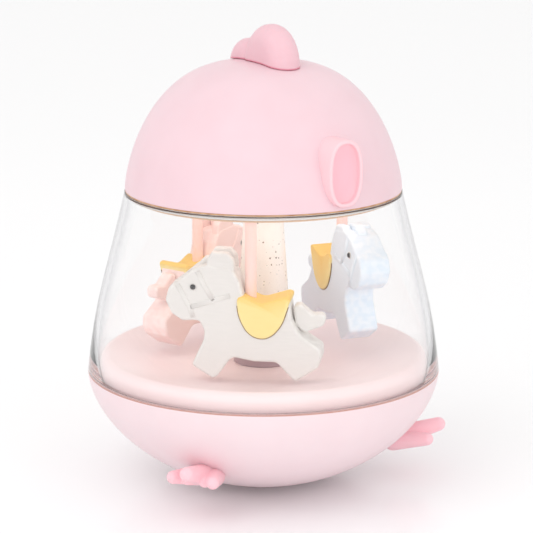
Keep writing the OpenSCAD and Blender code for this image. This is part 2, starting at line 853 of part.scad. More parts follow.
module rotor_hub() {
    flange_h = 2;
    color(ZINC)
        translate([0, 0, plate_top_z])
            difference() {
                union() {
                    cylinder(r = hub_screw_ring + 2.6, h = flange_h);
                    cylinder(r = shaft_d / 2 + 2.2, h = barrel_neck_z - plate_top_z);
                }
                translate([0, 0, -1]) cylinder(d = shaft_d, h = barrel_neck_z - plate_top_z + 2);
                hub_screw_places() translate([0, 0, -1]) cylinder(d = screw_d, h = flange_h + 2);
            }
}

module hub_screws() {
    color(STEEL)
        hub_screw_places() translate([0, 0, plate_top_z + 2]) screw(screw_d, 3.6, screw_head_r, screw_head_h);
}

module rotor_plate() {
    color("#f4ece6")
        translate([0, 0, plate_z])
            difference() {
                cylinder(r = plate_r, h = plate_t);
                translate([0, 0, -1]) cylinder(d = shaft_d, h = plate_t + 2);
                hub_screw_places() translate([0, 0, 0.9]) cylinder(d = screw_d, h = plate_t);
                for (i = [0:2]) pole_place(i) translate([0, 0, -1]) cylinder(d = stud_d, h = plate_t + 2);
            }
}

// Frame of horse i: its +X runs forward along the circle and its +Y runs outwards from the axis
module pole_place(i) {
    rotate(HORSE_ANGLES[i] - 90) translate([pole_ring_r, 0, 0]) rotate(-90) children();
}

module pole(i) {
    low_z = floor_z + HORSE_LIFTS[i] + pole_depth_z;
    color(POLE_PINK)
        pole_place(i) {
            translate([0, 0, low_z]) cylinder(d = pole_d, h = plate_z - low_z);
            translate([0, 0, plate_z]) cylinder(d = stud_d, h = plate_t + nut_h + 0.6);
        }
}

module white_pole() {
    pole(0);
}

module blue_pole() {
    pole(1);
}

module pink_pole() {
    pole(2);
}

module pole_sockets() {
    color("#d8a8a0")
        for (i = [0:2])
            pole_place(i)
                translate([0, 0, plate_z - socket_h])
                    difference() {
                        cylinder(d = pole_d + 2.2, h = socket_h);
                        translate([0, 0, -1]) cylinder(d = pole_d, h = socket_h + 2);
                    }
}

module pole_nuts() {
    color(STEEL)
        for (i = [0:2])
            pole_place(i)
                translate([0, 0, plate_top_z])
                    difference() {
                        cylinder(d = stud_d * 1.95, h = nut_h, $fn = 6);
                        translate([0, 0, -1]) cylinder(d = stud_d, h = nut_h + 2);
                    }
}

// ---------------------------------------------------------------- horses
// Side outline of a horse: x runs forward from the pole, y is the height above its hooves
BODY_OUTLINE = [
    [28.4, 27], [26.4, 22.4], [22.7, 19.9], [16.8, 20.2], [15.2, 16.6], [15.4, 13.4], [19.6, 4.2],
    [12.2, -0.6], [10.8, 0.6], [5.8, 7.6], [-1.8, 6.2], [-9.5, 6.2], [-14.6, 0.6], [-15.9, -0.6],
    [-23.6, 4.8], [-24.6, 8], [-24.4, 11.2], [-17.6, 15.8], [-14.6, 21], [-13.6, 27.6], [-12.6, 28.2],
    [-4, 25.2], [1.6, 28.2], [3.2, 34], [5.6, 38.6], [14, 39.8], [18.8, 38.2], [23.4, 34.2], [27.2, 31.4]
];
EAR_OUTLINE = [[4.6, 36], [5.2, 40.8], [7.2, 43.2], [12.6, 43.4], [14.2, 40.6], [14.4, 37]];
FORELOCK_OUTLINE = [[9, 36], [9.4, 41.4], [15.4, 41.6], [19.4, 38.4], [18, 35]];
TAIL_OUTLINE = [
    [-14.8, 25.8], [-17.2, 26.2], [-21.2, 22.8], [-25.9, 23], [-25.2, 18.9], [-18.4, 16.2], [-15.4, 19]
];
SADDLE_TOP = [[-14.2, 28.9], [-12.6, 29.4], [-4, 26.6], [1.8, 29.4], [3.6, 28.6]];
SADDLE_FLAP = [[4, 27.2], [3.4, 22], [0.6, 16.4], [-3.4, 14.2], [-7.6, 15], [-11.4, 19.6], [-14, 27.6]];
eye_at = [18.9, 31.9];
eye_d = 1.9;
saddle_t = 0.7;

// Lays a side outline upright in the horse's frame, t thick and centred on the pole
module upright(t, y = 0) {
    translate([0, y + t / 2, 0]) rotate([90, 0, 0]) linear_extrude(t) children();
}

module horse_place(i) {
    pole_place(i) translate([0, 0, floor_z + HORSE_LIFTS[i]]) children();
}

module pole_hole() {
    translate([0, 0, pole_depth_z]) cylinder(d = pole_d, h = 40);
}

module horse(i, tint) {
    ear_t = 3.4;
    color(tint)
        horse_place(i)
            difference() {
                union() {
                    upright(horse_t) polygon(cut_corners(cut_corners(BODY_OUTLINE)));
                    for (s = [-1, 1])
                        upright(ear_t, s * (horse_t - ear_t) / 2) polygon(cut_corners(EAR_OUTLINE));
                    upright(horse_t - 2 * ear_t - 0.8) polygon(cut_corners(FORELOCK_OUTLINE));
                }
                pole_hole();
                for (s = [-1, 1]) eye_ball(s);
            }
}

module eye_ball(side) {
    translate([eye_at[0], side * horse_t / 2, eye_at[1]]) sphere(d = eye_d);
}

module white_horse() {
    horse(0, "#e6e3de");
}

module blue_horse() {
    horse(1, "#d6dfe6");
}

module pink_horse() {
    horse(2, "#f0cdca");
}

// A thin cap over the horse's back with a rounded flap down each side
module saddle(i) {
    cap = concat(SADDLE_TOP, SADDLE_FLAP);
    color(YELLOW)
        horse_place(i)
            difference() {
                upright(horse_t + 2 * saddle_t) polygon(cut_corners(cap));
                upright(horse_t) polygon(cut_corners(cut_corners(BODY_OUTLINE)));
                upright(horse_t) translate([-9, 8]) square([8, 14]);
                pole_hole();
            }
}

module white_saddle() {
    saddle(0);
}

module blue_saddle() {
    saddle(1);
}

module pink_saddle() {
    saddle(2);
}

module tail(i, tint) {
    tail_t = 5;
    color(tint)
        horse_place(i)
            difference() {
                upright(tail_t) polygon(cut_corners(TAIL_OUTLINE));
                upright(horse_t) polygon(cut_corners(cut_corners(BODY_OUTLINE)));
            }
}

module white_tail() {
    tail(0, "#e6e3de");
}

module blue_tail() {
    tail(1, "#d6dfe6");
}

module pink_tail() {
    tail(2, "#f0cdca");
}

module eyes(i) {
    color("#201c1c") horse_place(i) for (s = [-1, 1]) eye_ball(s);
}

module white_eyes() {
    eyes(0);
}

module blue_eyes() {
    eyes(1);
}

module pink_eyes() {
    eyes(2);
}

// ---------------------------------------------------------------- movement: turning pieces
PINS_PER_NOTE = 3;
GOLDEN_TURN = 137.5;

module music_cylinder() {
    color(BRASS) {
        difference() {
            across(drum_x) cylinder(r = drum_r, h = drum_len);
            across(drum_x - 1) cylinder(d = arbor_d, h = drum_len + 2);
        }
        for (i = [0:notes - 1])
            for (k = [0:PINS_PER_NOTE - 1])
                translate([note_x(i), 0, arbor_z])
                    rotate([i * GOLDEN_TURN + k * 360 / PINS_PER_NOTE + 20, 0, 0])
                        translate([0, 0, drum_r - 0.3]) cylinder(r = pin_r, h = pin_h + 0.3);
    }
}

module cylinder_arbor() {
    color(STEEL) across(pinion_x) cylinder(d = arbor_d, h = outer_bridge_x + bridge_t - pinion_x);
}

module cylinder_pinion() {
    color(BRASS)
        difference() {
            gear(pinion_x, 0, crown_module, PINION_TEETH, crown_backlash, pinion_face, -90 + 180 / PINION_TEETH);
            across(pinion_x - 1) cylinder(d = arbor_d, h = pinion_face + 2);
        }
}

module cylinder_wheel() {
    color(BRASS)
        difference() {
            gear(wheel_x, 0, fine_module, WHEEL_TEETH, fine_backlash, wheel_t, 0);
            across(wheel_x - 1) cylinder(d = arbor_d, h = wheel_t + 2);
        }
}

module governor_arbor() {
    x0 = inner_bridge_x;
    color(STEEL) {
        across(x0, governor_y) cylinder(d = fine_arbor_d, h = outer_bridge_x + bridge_t - x0);
        gear(
            wheel_x - 0.2, governor_y, fine_module, GOVERNOR_PINION_TEETH, fine_backlash, wheel_t + 0.4,
            180 + 180 / GOVERNOR_PINION_TEETH
        );
        gear(governor_wheel_x, governor_y, fine_module, GOVERNOR_WHEEL_TEETH, fine_backlash, 0.8, 0);
    }
}

module air_fan() {
    x0 = inner_bridge_x;
    vane_r = 5;
    vane_len = 6;
    color(STEEL) {
        across(x0, fan_y) cylinder(d = fine_arbor_d, h = outer_bridge_x + bridge_t - x0);
        across(x0 + 7, fan_y) cylinder(r = 1.2, h = vane_len);
        across(x0 + 7, fan_y) translate([-vane_r, -0.3, 0]) cube([2 * vane_r, 0.6, vane_len]);
        gear(
            governor_wheel_x - 0.2, fan_y, fine_module, FAN_TEETH, fine_backlash, 1.2,
            180 + 180 / FAN_TEETH
        );
    }
}

base_bowl();
rest_pad();
ballast_weight();
ballast_screws();
tie_screw();
floor_dish();
column();
column_bush();
clear_shell();
rim_seal();
head_dome();
beak();
left_foot();
right_foot();
foot_screws();
movement_bedplate();
movement_screws();
inner_bridge();
outer_bridge();
comb_bracket();
reed_comb();
ratchet_click();
stem_bush();
crest_knob();
winding_stem();
ratchet_wheel();
spring_barrel();
barrel_cover();
mainspring();
output_shaft();
rotor_hub();
hub_screws();
rotor_plate();
white_pole();
blue_pole();
pink_pole();
pole_sockets();
pole_nuts();
white_horse();
blue_horse();
pink_horse();
white_saddle();
blue_saddle();
pink_saddle();
white_tail();
blue_tail();
pink_tail();
white_eyes();
blue_eyes();
pink_eyes();
music_cylinder();
cylinder_arbor();
cylinder_pinion();
cylinder_wheel();
governor_arbor();
air_fan();
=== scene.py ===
"""Looks of the carousel music box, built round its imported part.

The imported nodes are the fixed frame. Every piece that shows is made again here as a fine surface and
stands for its node; the movement inside keeps its nodes and gets metal finishes. Surfaces are worked
out in millimetres and turned into metres when they become objects. +Z is up and the bird looks
along -Y.
"""

import json
import logging
import math
from dataclasses import dataclass, field
from enum import Enum
from functools import cache

import bpy
import numpy as np
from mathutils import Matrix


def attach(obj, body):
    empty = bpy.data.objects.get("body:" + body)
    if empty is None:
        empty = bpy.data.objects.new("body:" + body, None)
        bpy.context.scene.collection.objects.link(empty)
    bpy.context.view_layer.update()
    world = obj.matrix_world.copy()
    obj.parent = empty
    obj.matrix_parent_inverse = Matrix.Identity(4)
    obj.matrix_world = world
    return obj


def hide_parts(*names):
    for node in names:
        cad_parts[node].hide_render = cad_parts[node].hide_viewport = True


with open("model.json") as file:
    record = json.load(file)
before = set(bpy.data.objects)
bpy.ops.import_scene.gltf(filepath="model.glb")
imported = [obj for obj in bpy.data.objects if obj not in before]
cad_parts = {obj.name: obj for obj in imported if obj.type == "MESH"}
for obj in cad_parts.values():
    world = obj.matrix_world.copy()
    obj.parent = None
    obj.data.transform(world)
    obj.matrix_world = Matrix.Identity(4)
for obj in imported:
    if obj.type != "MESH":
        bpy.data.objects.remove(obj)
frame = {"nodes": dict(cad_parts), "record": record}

MM = 0.001
TAU = 2 * math.pi

Array = np.ndarray
Corners = list[tuple[float, float]]
Colour = tuple[float, float, float]
Socket = bpy.types.NodeSocket

log = logging.getLogger("music_box")


class Body(Enum):
    """The bodies of the part that pieces ride on."""

    HOUSING = "housing"
    WINDER = "winder"
    CAROUSEL = "carousel"


# ---------------------------------------------------------------- surfaces


@dataclass
class Surface:
    """Points and faces of a surface, in millimetres, with masks and flat coordinates for its finish."""

    points: Array
    quads: Array = field(default_factory=lambda: np.zeros((0, 4), int))
    triangles: Array = field(default_factory=lambda: np.zeros((0, 3), int))
    caps: list[Array] = field(default_factory=list)
    masks: dict[str, Array] = field(default_factory=dict)
    flat: Array | None = None

    def moved(self, matrix: Array) -> "Surface":
        """Returns the surface with every point multiplied by a 4 x 4 matrix."""
        points = self.points @ matrix[:3, :3].T + matrix[:3, 3]
        return Surface(points, self.quads, self.triangles, self.caps, self.masks, self.flat)

    def flat_or_zero(self) -> Array:
        """Returns the flat coordinates, or zeros where the surface has none."""
        return np.zeros((len(self.points), 2)) if self.flat is None else self.flat

    def masked(self, name: str, values: Array) -> "Surface":
        """Returns the surface with one more mask, a number for each point."""
        masks = {**self.masks, name: np.asarray(values, float)}
        return Surface(self.points, self.quads, self.triangles, self.caps, masks, self.flat)


def combine(*surfaces: Surface) -> Surface:
    """Puts several surfaces into one.

    Args:
        surfaces: the surfaces; a mask that one of them lacks is 0 there.

    Returns:
        One surface whose faces point at the shifted numbers of their points.
    """
    starts = np.cumsum([0] + [len(s.points) for s in surfaces])
    names = sorted({name for s in surfaces for name in s.masks})
    mapped = any(s.flat is not None for s in surfaces)
    flat = np.concatenate([s.flat_or_zero() for s in surfaces]) if mapped else None
    return Surface(
        np.concatenate([s.points for s in surfaces]),
        np.concatenate([s.quads + n for s, n in zip(surfaces, starts)]),
        np.concatenate([s.triangles + n for s, n in zip(surfaces, starts)]),
        [cap + n for s, n in zip(surfaces, starts) for cap in s.caps],
        {k: np.concatenate([s.masks.get(k, np.zeros(len(s.points))) for s in surfaces]) for k in names},
        flat,
    )


def grid(points: Array, wrap_rows: bool = False, wrap_columns: bool = False) -> Surface:
    """Covers a grid of points with quads and closes its seams and poles.

    Quad (i, j) joins points (i, j), (i, j + 1), (i + 1, j + 1) and (i + 1, j). Points that coincide
    become one, and a quad with two equal corners becomes a triangle.

    Args:
        points: array of rows x columns x 3.
        wrap_rows: joins the last row to the first.
        wrap_columns: joins the last column to the first.

    Returns:
        The closed or open surface.
    """
    rows, columns = points.shape[:2]
    i = np.arange(rows if wrap_rows else rows - 1)[:, None]
    j = np.arange(columns if wrap_columns else columns - 1)[None, :]
    below, above = i * columns, (i + 1) % rows * columns
    right = (j + 1) % columns
    quads = np.stack([below + j, below + right, above + right, above + j], -1).reshape(-1, 4)
    places = points.reshape(-1, 3)
    cells = np.round(places * 1e4).astype(np.int64)
    _, first, index = np.unique(cells, axis=0, return_index=True, return_inverse=True)
    quads = index.reshape(-1)[quads]
    same = quads == np.roll(quads, -1, axis=1)
    once = same.sum(1) == 1
    kept = np.ones((once.sum(), 4), bool)
    kept[np.arange(len(kept)), same[once].argmax(1)] = False
    return Surface(places[first], quads[~same.any(1)], quads[once][kept].reshape(-1, 3))


def rounded(corners: Corners, radii: float | list[float], steps: int = 6, closed: bool = True) -> Array:
    """Rounds the corners of an outline with arcs.

    An arc of radius r in a corner of inside angle 2h starts r / tan(h) from the corner on each side,
    and its centre lies r / sin(h) from the corner along the bisector. A reach is held to just under
    half of the shorter side, and its radius shrinks with it.

    Args:
        corners: the outline's corners in order.
        radii: one radius, or one for each corner.
        steps: how many pieces an arc has.
        closed: whether the last corner joins the first; the ends of an open outline stay sharp.

    Returns:
        The points of the outline, without repeated ones.
    """
    corner = np.asarray(corners, float)
    radius = np.array(np.broadcast_to(radii, len(corner)), float)
    if not closed:
        radius[[0, -1]] = 0
    back, ahead = np.roll(corner, 1, 0) - corner, np.roll(corner, -1, 0) - corner
    back_len, ahead_len = np.linalg.norm(back, axis=1), np.linalg.norm(ahead, axis=1)
    back, ahead = back / back_len[:, None], ahead / ahead_len[:, None]
    half = np.arccos(np.clip((back * ahead).sum(1), -1, 1)) / 2
    bisector = back + ahead
    width = np.linalg.norm(bisector, axis=1)
    radius[width < 1e-4] = 0
    reach = radius / np.tan(half)
    share = np.minimum(1, 0.495 * np.minimum(back_len, ahead_len) / np.maximum(reach, 1e-9))
    radius, reach = radius * share, reach * share
    centre = corner + bisector / np.maximum(width, 1e-9)[:, None] * (radius / np.sin(half))[:, None]
    start = corner + back * reach[:, None] - centre
    turn = (math.pi - 2 * half) * np.sign(ahead[:, 1] * back[:, 0] - ahead[:, 0] * back[:, 1]) * -1
    angle = np.arctan2(start[:, 1], start[:, 0])[:, None] + turn[:, None] * np.linspace(0, 1, steps + 1)
    arc = centre[:, None] + radius[:, None, None] * np.stack([np.cos(angle), np.sin(angle)], -1)
    points = arc.reshape(-1, 2)
    fresh = np.linalg.norm(points - np.roll(points, 1, 0), axis=1) > 1e-5
    if not closed:
        fresh[0] = True
    return points[fresh]


def evenly(outline: Array, spacing: float) -> Array:
    """Places points at even steps of length along a closed outline.

    Args:
        outline: the outline's points.
        spacing: wanted distance between two points.

    Returns:
        The new points, by straight interpolation of the length run so far.
    """
    loop = np.vstack([outline, outline[:1]])
    run = np.concatenate([[0], np.cumsum(np.linalg.norm(np.diff(loop, axis=0), axis=1))])
    at = np.linspace(0, run[-1], int(run[-1] / spacing), endpoint=False)
    return np.stack([np.interp(at, run, loop[:, k]) for k in range(2)], -1)


def lathe(outline: Array, steps: int = 192, closed: bool = True) -> Surface:
    """Turns an outline of (radius, height) about the upright axis.

    Point (i, j) is (r_i cos a_j, r_i sin a_j, z_i) with the angle a_j = j / steps of a turn. The
    outline runs anticlockwise seen with the radius to the right, so that faces point outwards.

    Args:
        outline: rows of radius and height.
        steps: how many sectors a turn has.
        closed: joins the outline's last point to its first, as in a ring.

    Returns:
        The turned surface; points on the axis become one pole.
    """
    angle = TAU * np.arange(steps) / steps
    radius, height = outline[:, :1], outline[:, 1:]
    points = np.stack([radius * np.cos(angle), radius * np.sin(angle), height + 0 * angle], -1)
    return grid(points, wrap_rows=closed, wrap_columns=True)


def board(outline: Array, thickness: float, edge: float, middle: float = 0, steps: int = 5) -> Surface:
    """A flat board with rounded edges: its outline lies in X and Z, its thickness along Y.

    The ring at angle a of the edge is the outline moved inwards along its normals by e (1 - cos a),
    at e sin a beyond the start of the rounding. One more ring just inside keeps the faces flat.

    Args:
        outline: anticlockwise outline with X to the right and Z up.
        thickness: full thickness.
        edge: radius e of the rounded edges.
        middle: where the middle of the thickness lies along Y.
        steps: rings in each rounding.

    Returns:
        The closed board with the mask "edge" (1 on the roundings) and flat coordinates (x, z).
    """
    along = np.roll(outline, -1, 0) - np.roll(outline, 1, 0)
    along = along / np.linalg.norm(along, axis=1)[:, None]
    outward = np.stack([along[:, 1], -along[:, 0]], -1)
    angle = np.radians(np.linspace(-90, 0, steps + 1))
    angle = np.concatenate([angle, -angle[::-1]])
    side = np.repeat([-1.0, 1.0], steps + 1)
    inset = np.concatenate([[edge * 1.2], edge * (1 - np.cos(angle)), [edge * 1.2]])
    half = thickness / 2
    depth = np.concatenate([[-half], side * (half - edge) + edge * np.sin(angle), [half]])
    flat = outline[None] - inset[:, None, None] * outward[None]
    y = np.broadcast_to(depth[:, None] + middle, flat.shape[:2])
    rows, columns = y.shape
    i, j = np.arange(rows - 1)[:, None] * columns, np.arange(columns)[None, :]
    right = (j + 1) % columns
    quads = np.stack([i + j, i + columns + j, i + columns + right, i + right], -1).reshape(-1, 4)
    caps = [np.arange(columns), (rows - 1) * columns + np.arange(columns)[::-1]]
    rim = np.broadcast_to(np.concatenate([[0], np.abs(np.cos(angle)) ** 0.5, [0]])[:, None], y.shape)
    points = np.stack([flat[..., 0], y, flat[..., 1]], -1).reshape(-1, 3)
    return Surface(points, quads, caps=caps, masks={"edge": rim.reshape(-1)}, flat=flat.reshape(-1, 2))


def carried(path: Array, side: Array, up: Array, section: Array) -> Surface:
    """Carries a closed cross-section along an open path.

    Point (i, j) is path_i + s_j side_i + u_j up_i, where side x up runs along the path, and a flat
    face closes each end.

    Args:
        path: points of the path.
        side: unit vectors for the section's first coordinate.
        up: unit vectors for its second coordinate.
        section: anticlockwise outline of the section.

    Returns:
        The closed strip or rod.
    """
    points = path[:, None] + section[None, :, :1] * side[:, None] + section[None, :, 1:] * up[:, None]
    rows, columns = points.shape[:2]
    i, j = np.arange(rows - 1)[:, None] * columns, np.arange(columns)[None, :]
    right = (j + 1) % columns
    quads = np.stack([i + j, i + right, i + columns + right, i + columns + j], -1).reshape(-1, 4)
    caps = [np.arange(columns)[::-1], (rows - 1) * columns + np.arange(columns)]
    return Surface(points.reshape(-1, 3), quads, caps=caps)


def finger(start: Array, end: Array, start_r: float, end_r: float, steps: int = 48) -> Surface:
    """A tapering finger with round ends.

    Along the line from start to end the radius falls evenly; each end is half a ball. Point (i, j)
    is the axis point plus the radius times the turned side vector.

    Args:
        start: middle of the first ball.
        end: middle of the last ball.
        start_r: radius of the first ball.
        end_r: radius of the last ball.
        steps: sectors round the finger.

    Returns:
        The closed finger.
    """
    line = end - start
    length = np.linalg.norm(line)
    axis = line / length
    side = np.cross(axis, [0.0, 0.0, 1.0])
    side /= np.linalg.norm(side)
    up = np.cross(side, axis)
    low, high = np.linspace(-math.pi / 2, 0, 12), np.linspace(0, math.pi / 2, 12)
    middle_run, middle_r = np.linspace(0, length, 16)[1:-1], np.linspace(start_r, end_r, 16)[1:-1]
    run = np.concatenate([start_r * np.sin(low), middle_run, length + end_r * np.sin(high)])
    radius = np.concatenate([start_r * np.cos(low), middle_r, end_r * np.cos(high)])
    angle = TAU * np.arange(steps) / steps
    ring = np.cos(angle)[:, None] * side + np.sin(angle)[:, None] * up
    points = start + run[:, None, None] * axis + np.maximum(radius, 0)[:, None, None] * ring[None]
    return grid(points[::-1], wrap_columns=True)


def placed(angle_deg: float, radius: float, height: float) -> Array:
    """Frame of a horse: X runs forward round the circle, Y outwards and Z up.

    Args:
        angle_deg: direction from the axis, where 0 is -Y and 90 is +X.
        radius: distance from the axis.
        height: height of the frame's origin.

    Returns:
        The 4 x 4 matrix from the horse's frame to the part's, in millimetres.
    """
    sin, cos = math.sin(math.radians(angle_deg)), math.cos(math.radians(angle_deg))
    matrix = np.eye(4)
    matrix[:3, 0], matrix[:3, 1] = (-cos, -sin, 0), (sin, -cos, 0)
    matrix[:3, 3] = (radius * sin, -radius * cos, height)
    return matrix


# ---------------------------------------------------------------- shader wiring


def srgb(red: int, green: int, blue: int) -> Colour:
    """Returns the linear colour of 8-bit values: ((v + 0.055) / 1.055) ^ 2.4, or v / 12.92 when dark."""
    values = np.array([red, green, blue]) / 255
    linear = np.where(values > 0.04045, ((values + 0.055) / 1.055) ** 2.4, values / 12.92)
    return tuple(float(v) for v in linear)


class Wiring:
    """A node tree being wired, with short calls for the nodes that the finishes use."""

    def __init__(self, tree: bpy.types.NodeTree) -> None:
        """Starts wiring in an empty node tree."""
        self.tree = tree
        tree.nodes.clear()

    def add(self, kind: str, **values: object) -> bpy.types.Node:
        """Adds a node.

        Args:
            kind: the node's type name.
            values: node properties by name; where there is none, an input socket of that name is
                given the value, or is joined to it when the value is a socket.

        Returns:
            The new node.
        """
        node = self.tree.nodes.new(kind)
        inputs = {}
        for name, value in values.items():
            if hasattr(node, name):
                setattr(node, name, value)
            else:
                inputs[name] = value
        for name, value in inputs.items():
            self.give(node, name, value)
        return node

    def give(self, node: bpy.types.Node, name: str | int, value: object) -> None:
        """Gives an input a value, or joins it to a socket.

        Args:
            node: the node that has the input.
            name: the input's name, in which case and underscores don't matter, or its number.
            value: a number, a colour, or the socket to join.
        """
        wanted = str(name).replace("_", " ").lower()
        named = isinstance(name, str)
        socket = next(s for s in node.inputs if s.name.lower() == wanted) if named else node.inputs[name]
        if isinstance(value, bpy.types.NodeSocket):
            self.tree.links.new(value, socket)
        elif isinstance(value, tuple) and socket.type == "RGBA":
            socket.default_value = (*value, 1.0)
        else:
            socket.default_value = value

    def maths(self, operation: str, first: object, second: object = 0.0, clamp: bool = False) -> Socket:
        """Adds a Math node.

        Args:
            operation: Blender's name of the operation.
            first: a value or a socket.
            second: a value or a socket.
            clamp: whether the result is held between 0 and 1.

        Returns:
            The result's socket.
        """
        node = self.add("ShaderNodeMath", operation=operation, use_clamp=clamp)
        self.give(node, 0, first)
        self.give(node, 1, second)
        return node.outputs[0]

    def blend(self, share: object, first: object, second: object, mode: str = "MIX") -> Socket:
        """Adds a Mix node for colours.

        Args:
            share: 0 for the first colour, 1 for the second.
            first: a colour or a socket.
            second: a colour or a socket.
            mode: Blender's name of the way they are mixed.

        Returns:
            The mixed colour's socket.
        """
        node = self.add("ShaderNodeMix", data_type="RGBA", blend_type=mode)
        self.give(node, 0, share)
        self.give(node, 6, first)
        self.give(node, 7, second)
        return node.outputs[2]

    def ramp(
        self, value: Socket, low: float, high: float, to_low: float = 0.0, to_high: float = 1.0
    ) -> Socket:
        """Stretches a value from one range to another, smooth at both ends.

        Args:
            value: the value's socket.
            low: the value that gives to_low.
            high: the value that gives to_high.
            to_low: the result below low.
            to_high: the result above high.

        Returns:
            The result's socket.
        """
        node = self.add("ShaderNodeMapRange", interpolation_type="SMOOTHSTEP")
        for socket, given in zip(range(5), (value, low, high, to_low, to_high)):
            self.give(node, socket, given)
        return node.outputs[0]

    def noise(self, vector: Socket, scale: object, detail: float = 2.0, roughness: float = 0.5) -> Socket:
        """Returns a noise value between 0 and 1 read at the vector."""
        node = self.add("ShaderNodeTexNoise", scale=scale, detail=detail, roughness=roughness)
        self.give(node, "Vector", vector)
        return node.outputs[0]

    def attribute(self, name: str) -> Socket:
        """Returns the number that the piece carries under this name."""
        return self.add("ShaderNodeAttribute", attribute_name=name).outputs["Fac"]

    def effect(self, tree: bpy.types.NodeTree, **values: object) -> bpy.types.Node:
        """Places a shared effect and gives its inputs their values."""
        node = self.add("ShaderNodeGroup", node_tree=tree)
        for name, value in values.items():
            self.give(node, name, value)
        return node

    def bump(self, height: Socket, distance: float, strength: float = 1.0) -> Socket:
        """Returns the normal of a relief whose full height is distance metres."""
        node = self.add("ShaderNodeBump", strength=strength, distance=distance)
        self.give(node, "Height", height)
        return node.outputs[0]


def new_effect(
    name: str, inputs: dict[str, float], outputs: tuple[str, ...]
) -> tuple[Wiring, dict[str, Socket], dict[str, Socket]]:
    """Starts a shared effect: a node group with named number inputs and outputs.

    Args:
        name: the group's name.
        inputs: each input and its usual value.
        outputs: the masks, heights or tones that it puts out.

    Returns:
        The wiring, the input sockets by name and the output sockets by name.
    """
    tree = bpy.data.node_groups.new(name, "ShaderNodeTree")
    for label, value in inputs.items():
        dial = tree.interface.new_socket(name=label, in_out="INPUT", socket_type="NodeSocketFloat")
        dial.default_value = value
    for label in outputs:
        tree.interface.new_socket(name=label, in_out="OUTPUT", socket_type="NodeSocketFloat")
    wiring = Wiring(tree)
    entry, leave = wiring.add("NodeGroupInput"), wiring.add("NodeGroupOutput")
    given = {label: entry.outputs[label] for label in inputs}
    return wiring, given, {label: leave.inputs[label] for label in outputs}


@cache
def moulded_skin() -> bpy.types.NodeTree:
    """Skin of moulded plastic: a fine even grain and a slow drift of tone.

    Height is noise of the grain's size; tone is noise 30 times as large, so a big piece never looks
    like one flat colour.
    """
    wiring, given, out = new_effect("moulded skin", {"Grain": 0.5}, ("Height", "Tone"))
    place = wiring.add("ShaderNodeTexCoord").outputs["Object"]
    scale = wiring.maths("DIVIDE", 1000.0, given["Grain"])
    wiring.tree.links.new(wiring.noise(place, scale, 3.0, 0.6), out["Height"])
    slow = wiring.noise(place, wiring.maths("DIVIDE", scale, 30.0), 2.0)
    wiring.tree.links.new(wiring.ramp(slow, 0.25, 0.75), out["Tone"])
    return wiring.tree


@cache
def brushed_paint() -> bpy.types.NodeTree:
    """Paint brushed on wood: long soft strokes along the flat coordinates, over a fine tooth.

    The strokes are noise squeezed eight times across their length, read on the piece's own map.
    """
    wiring, given, out = new_effect("brushed paint", {"Stroke": 0.6}, ("Height", "Tone"))
    place = wiring.add("ShaderNodeUVMap", uv_map="flat").outputs[0]
    squeeze = wiring.add("ShaderNodeMapping", vector_type="POINT")
    wiring.give(squeeze, "Vector", place)
    squeeze.inputs["Scale"].default_value = (1.0, 8.0, 1.0)
    scale = wiring.maths("DIVIDE", 125.0, given["Stroke"])
    strokes = wiring.noise(squeeze.outputs[0], scale, 4.0, 0.55)
    tooth = wiring.noise(wiring.add("ShaderNodeTexCoord").outputs["Object"], 2600.0, 2.0)
    height = wiring.maths("MULTIPLY", strokes, 0.75)
    height = wiring.maths("ADD", height, wiring.maths("MULTIPLY", tooth, 0.25))
    wiring.tree.links.new(height, out["Height"])
    wiring.tree.links.new(wiring.ramp(strokes, 0.3, 0.7), out["Tone"])
    return wiring.tree


@cache
def rubbed_edge() -> bpy.types.NodeTree:
    """Edges rubbed by handling: the piece's edge mask, broken up by noise."""
    wiring, given, out = new_effect("rubbed edge", {"Amount": 0.5}, ("Mask",))
    place = wiring.add("ShaderNodeTexCoord").outputs["Object"]
    patches = wiring.ramp(wiring.noise(place, 420.0, 3.0), 0.4, 0.62)
    broken = wiring.maths("MULTIPLY", wiring.attribute("edge"), patches)
    wiring.tree.links.new(wiring.maths("MULTIPLY", broken, given["Amount"], clamp=True), out["Mask"])
    return wiring.tree


@cache
def glitter() -> bpy.types.NodeTree:
    """Glitter set in resin: small flakes scattered in cells.

    A cell's flake shows where the distance to its middle is under the flake's size and the cell's
    random number is under the share; half of the flakes are dark and half are bright.
    """
    usual = {"Spacing": 1.4, "Flake": 0.2, "Share": 0.5}
    wiring, given, out = new_effect("glitter", usual, ("Dark", "Bright"))
    place = wiring.add("ShaderNodeTexCoord").outputs["Object"]
    scale = wiring.maths("DIVIDE", 1000.0, given["Spacing"])
    cells = wiring.add("ShaderNodeTexVoronoi", feature="F1", scale=scale, randomness=1.0)
    wiring.give(cells, "Vector", place)
    parts = wiring.add("ShaderNodeSeparateColor")
    wiring.give(parts, 0, cells.outputs["Color"])
    size = wiring.maths("MULTIPLY", given["Flake"], parts.outputs[2])
    inside = wiring.maths("LESS_THAN", cells.outputs["Distance"], size)
    chosen = wiring.maths("LESS_THAN", parts.outputs[0], given["Share"])
    flake = wiring.maths("MULTIPLY", inside, chosen)
    bright = wiring.maths("GREATER_THAN", parts.outputs[1], 0.5)
    wiring.tree.links.new(wiring.maths("MULTIPLY", flake, bright), out["Bright"])
    wiring.tree.links.new(wiring.maths("MULTIPLY", flake, wiring.maths("SUBTRACT", 1.0, bright)), out["Dark"])
    return wiring.tree


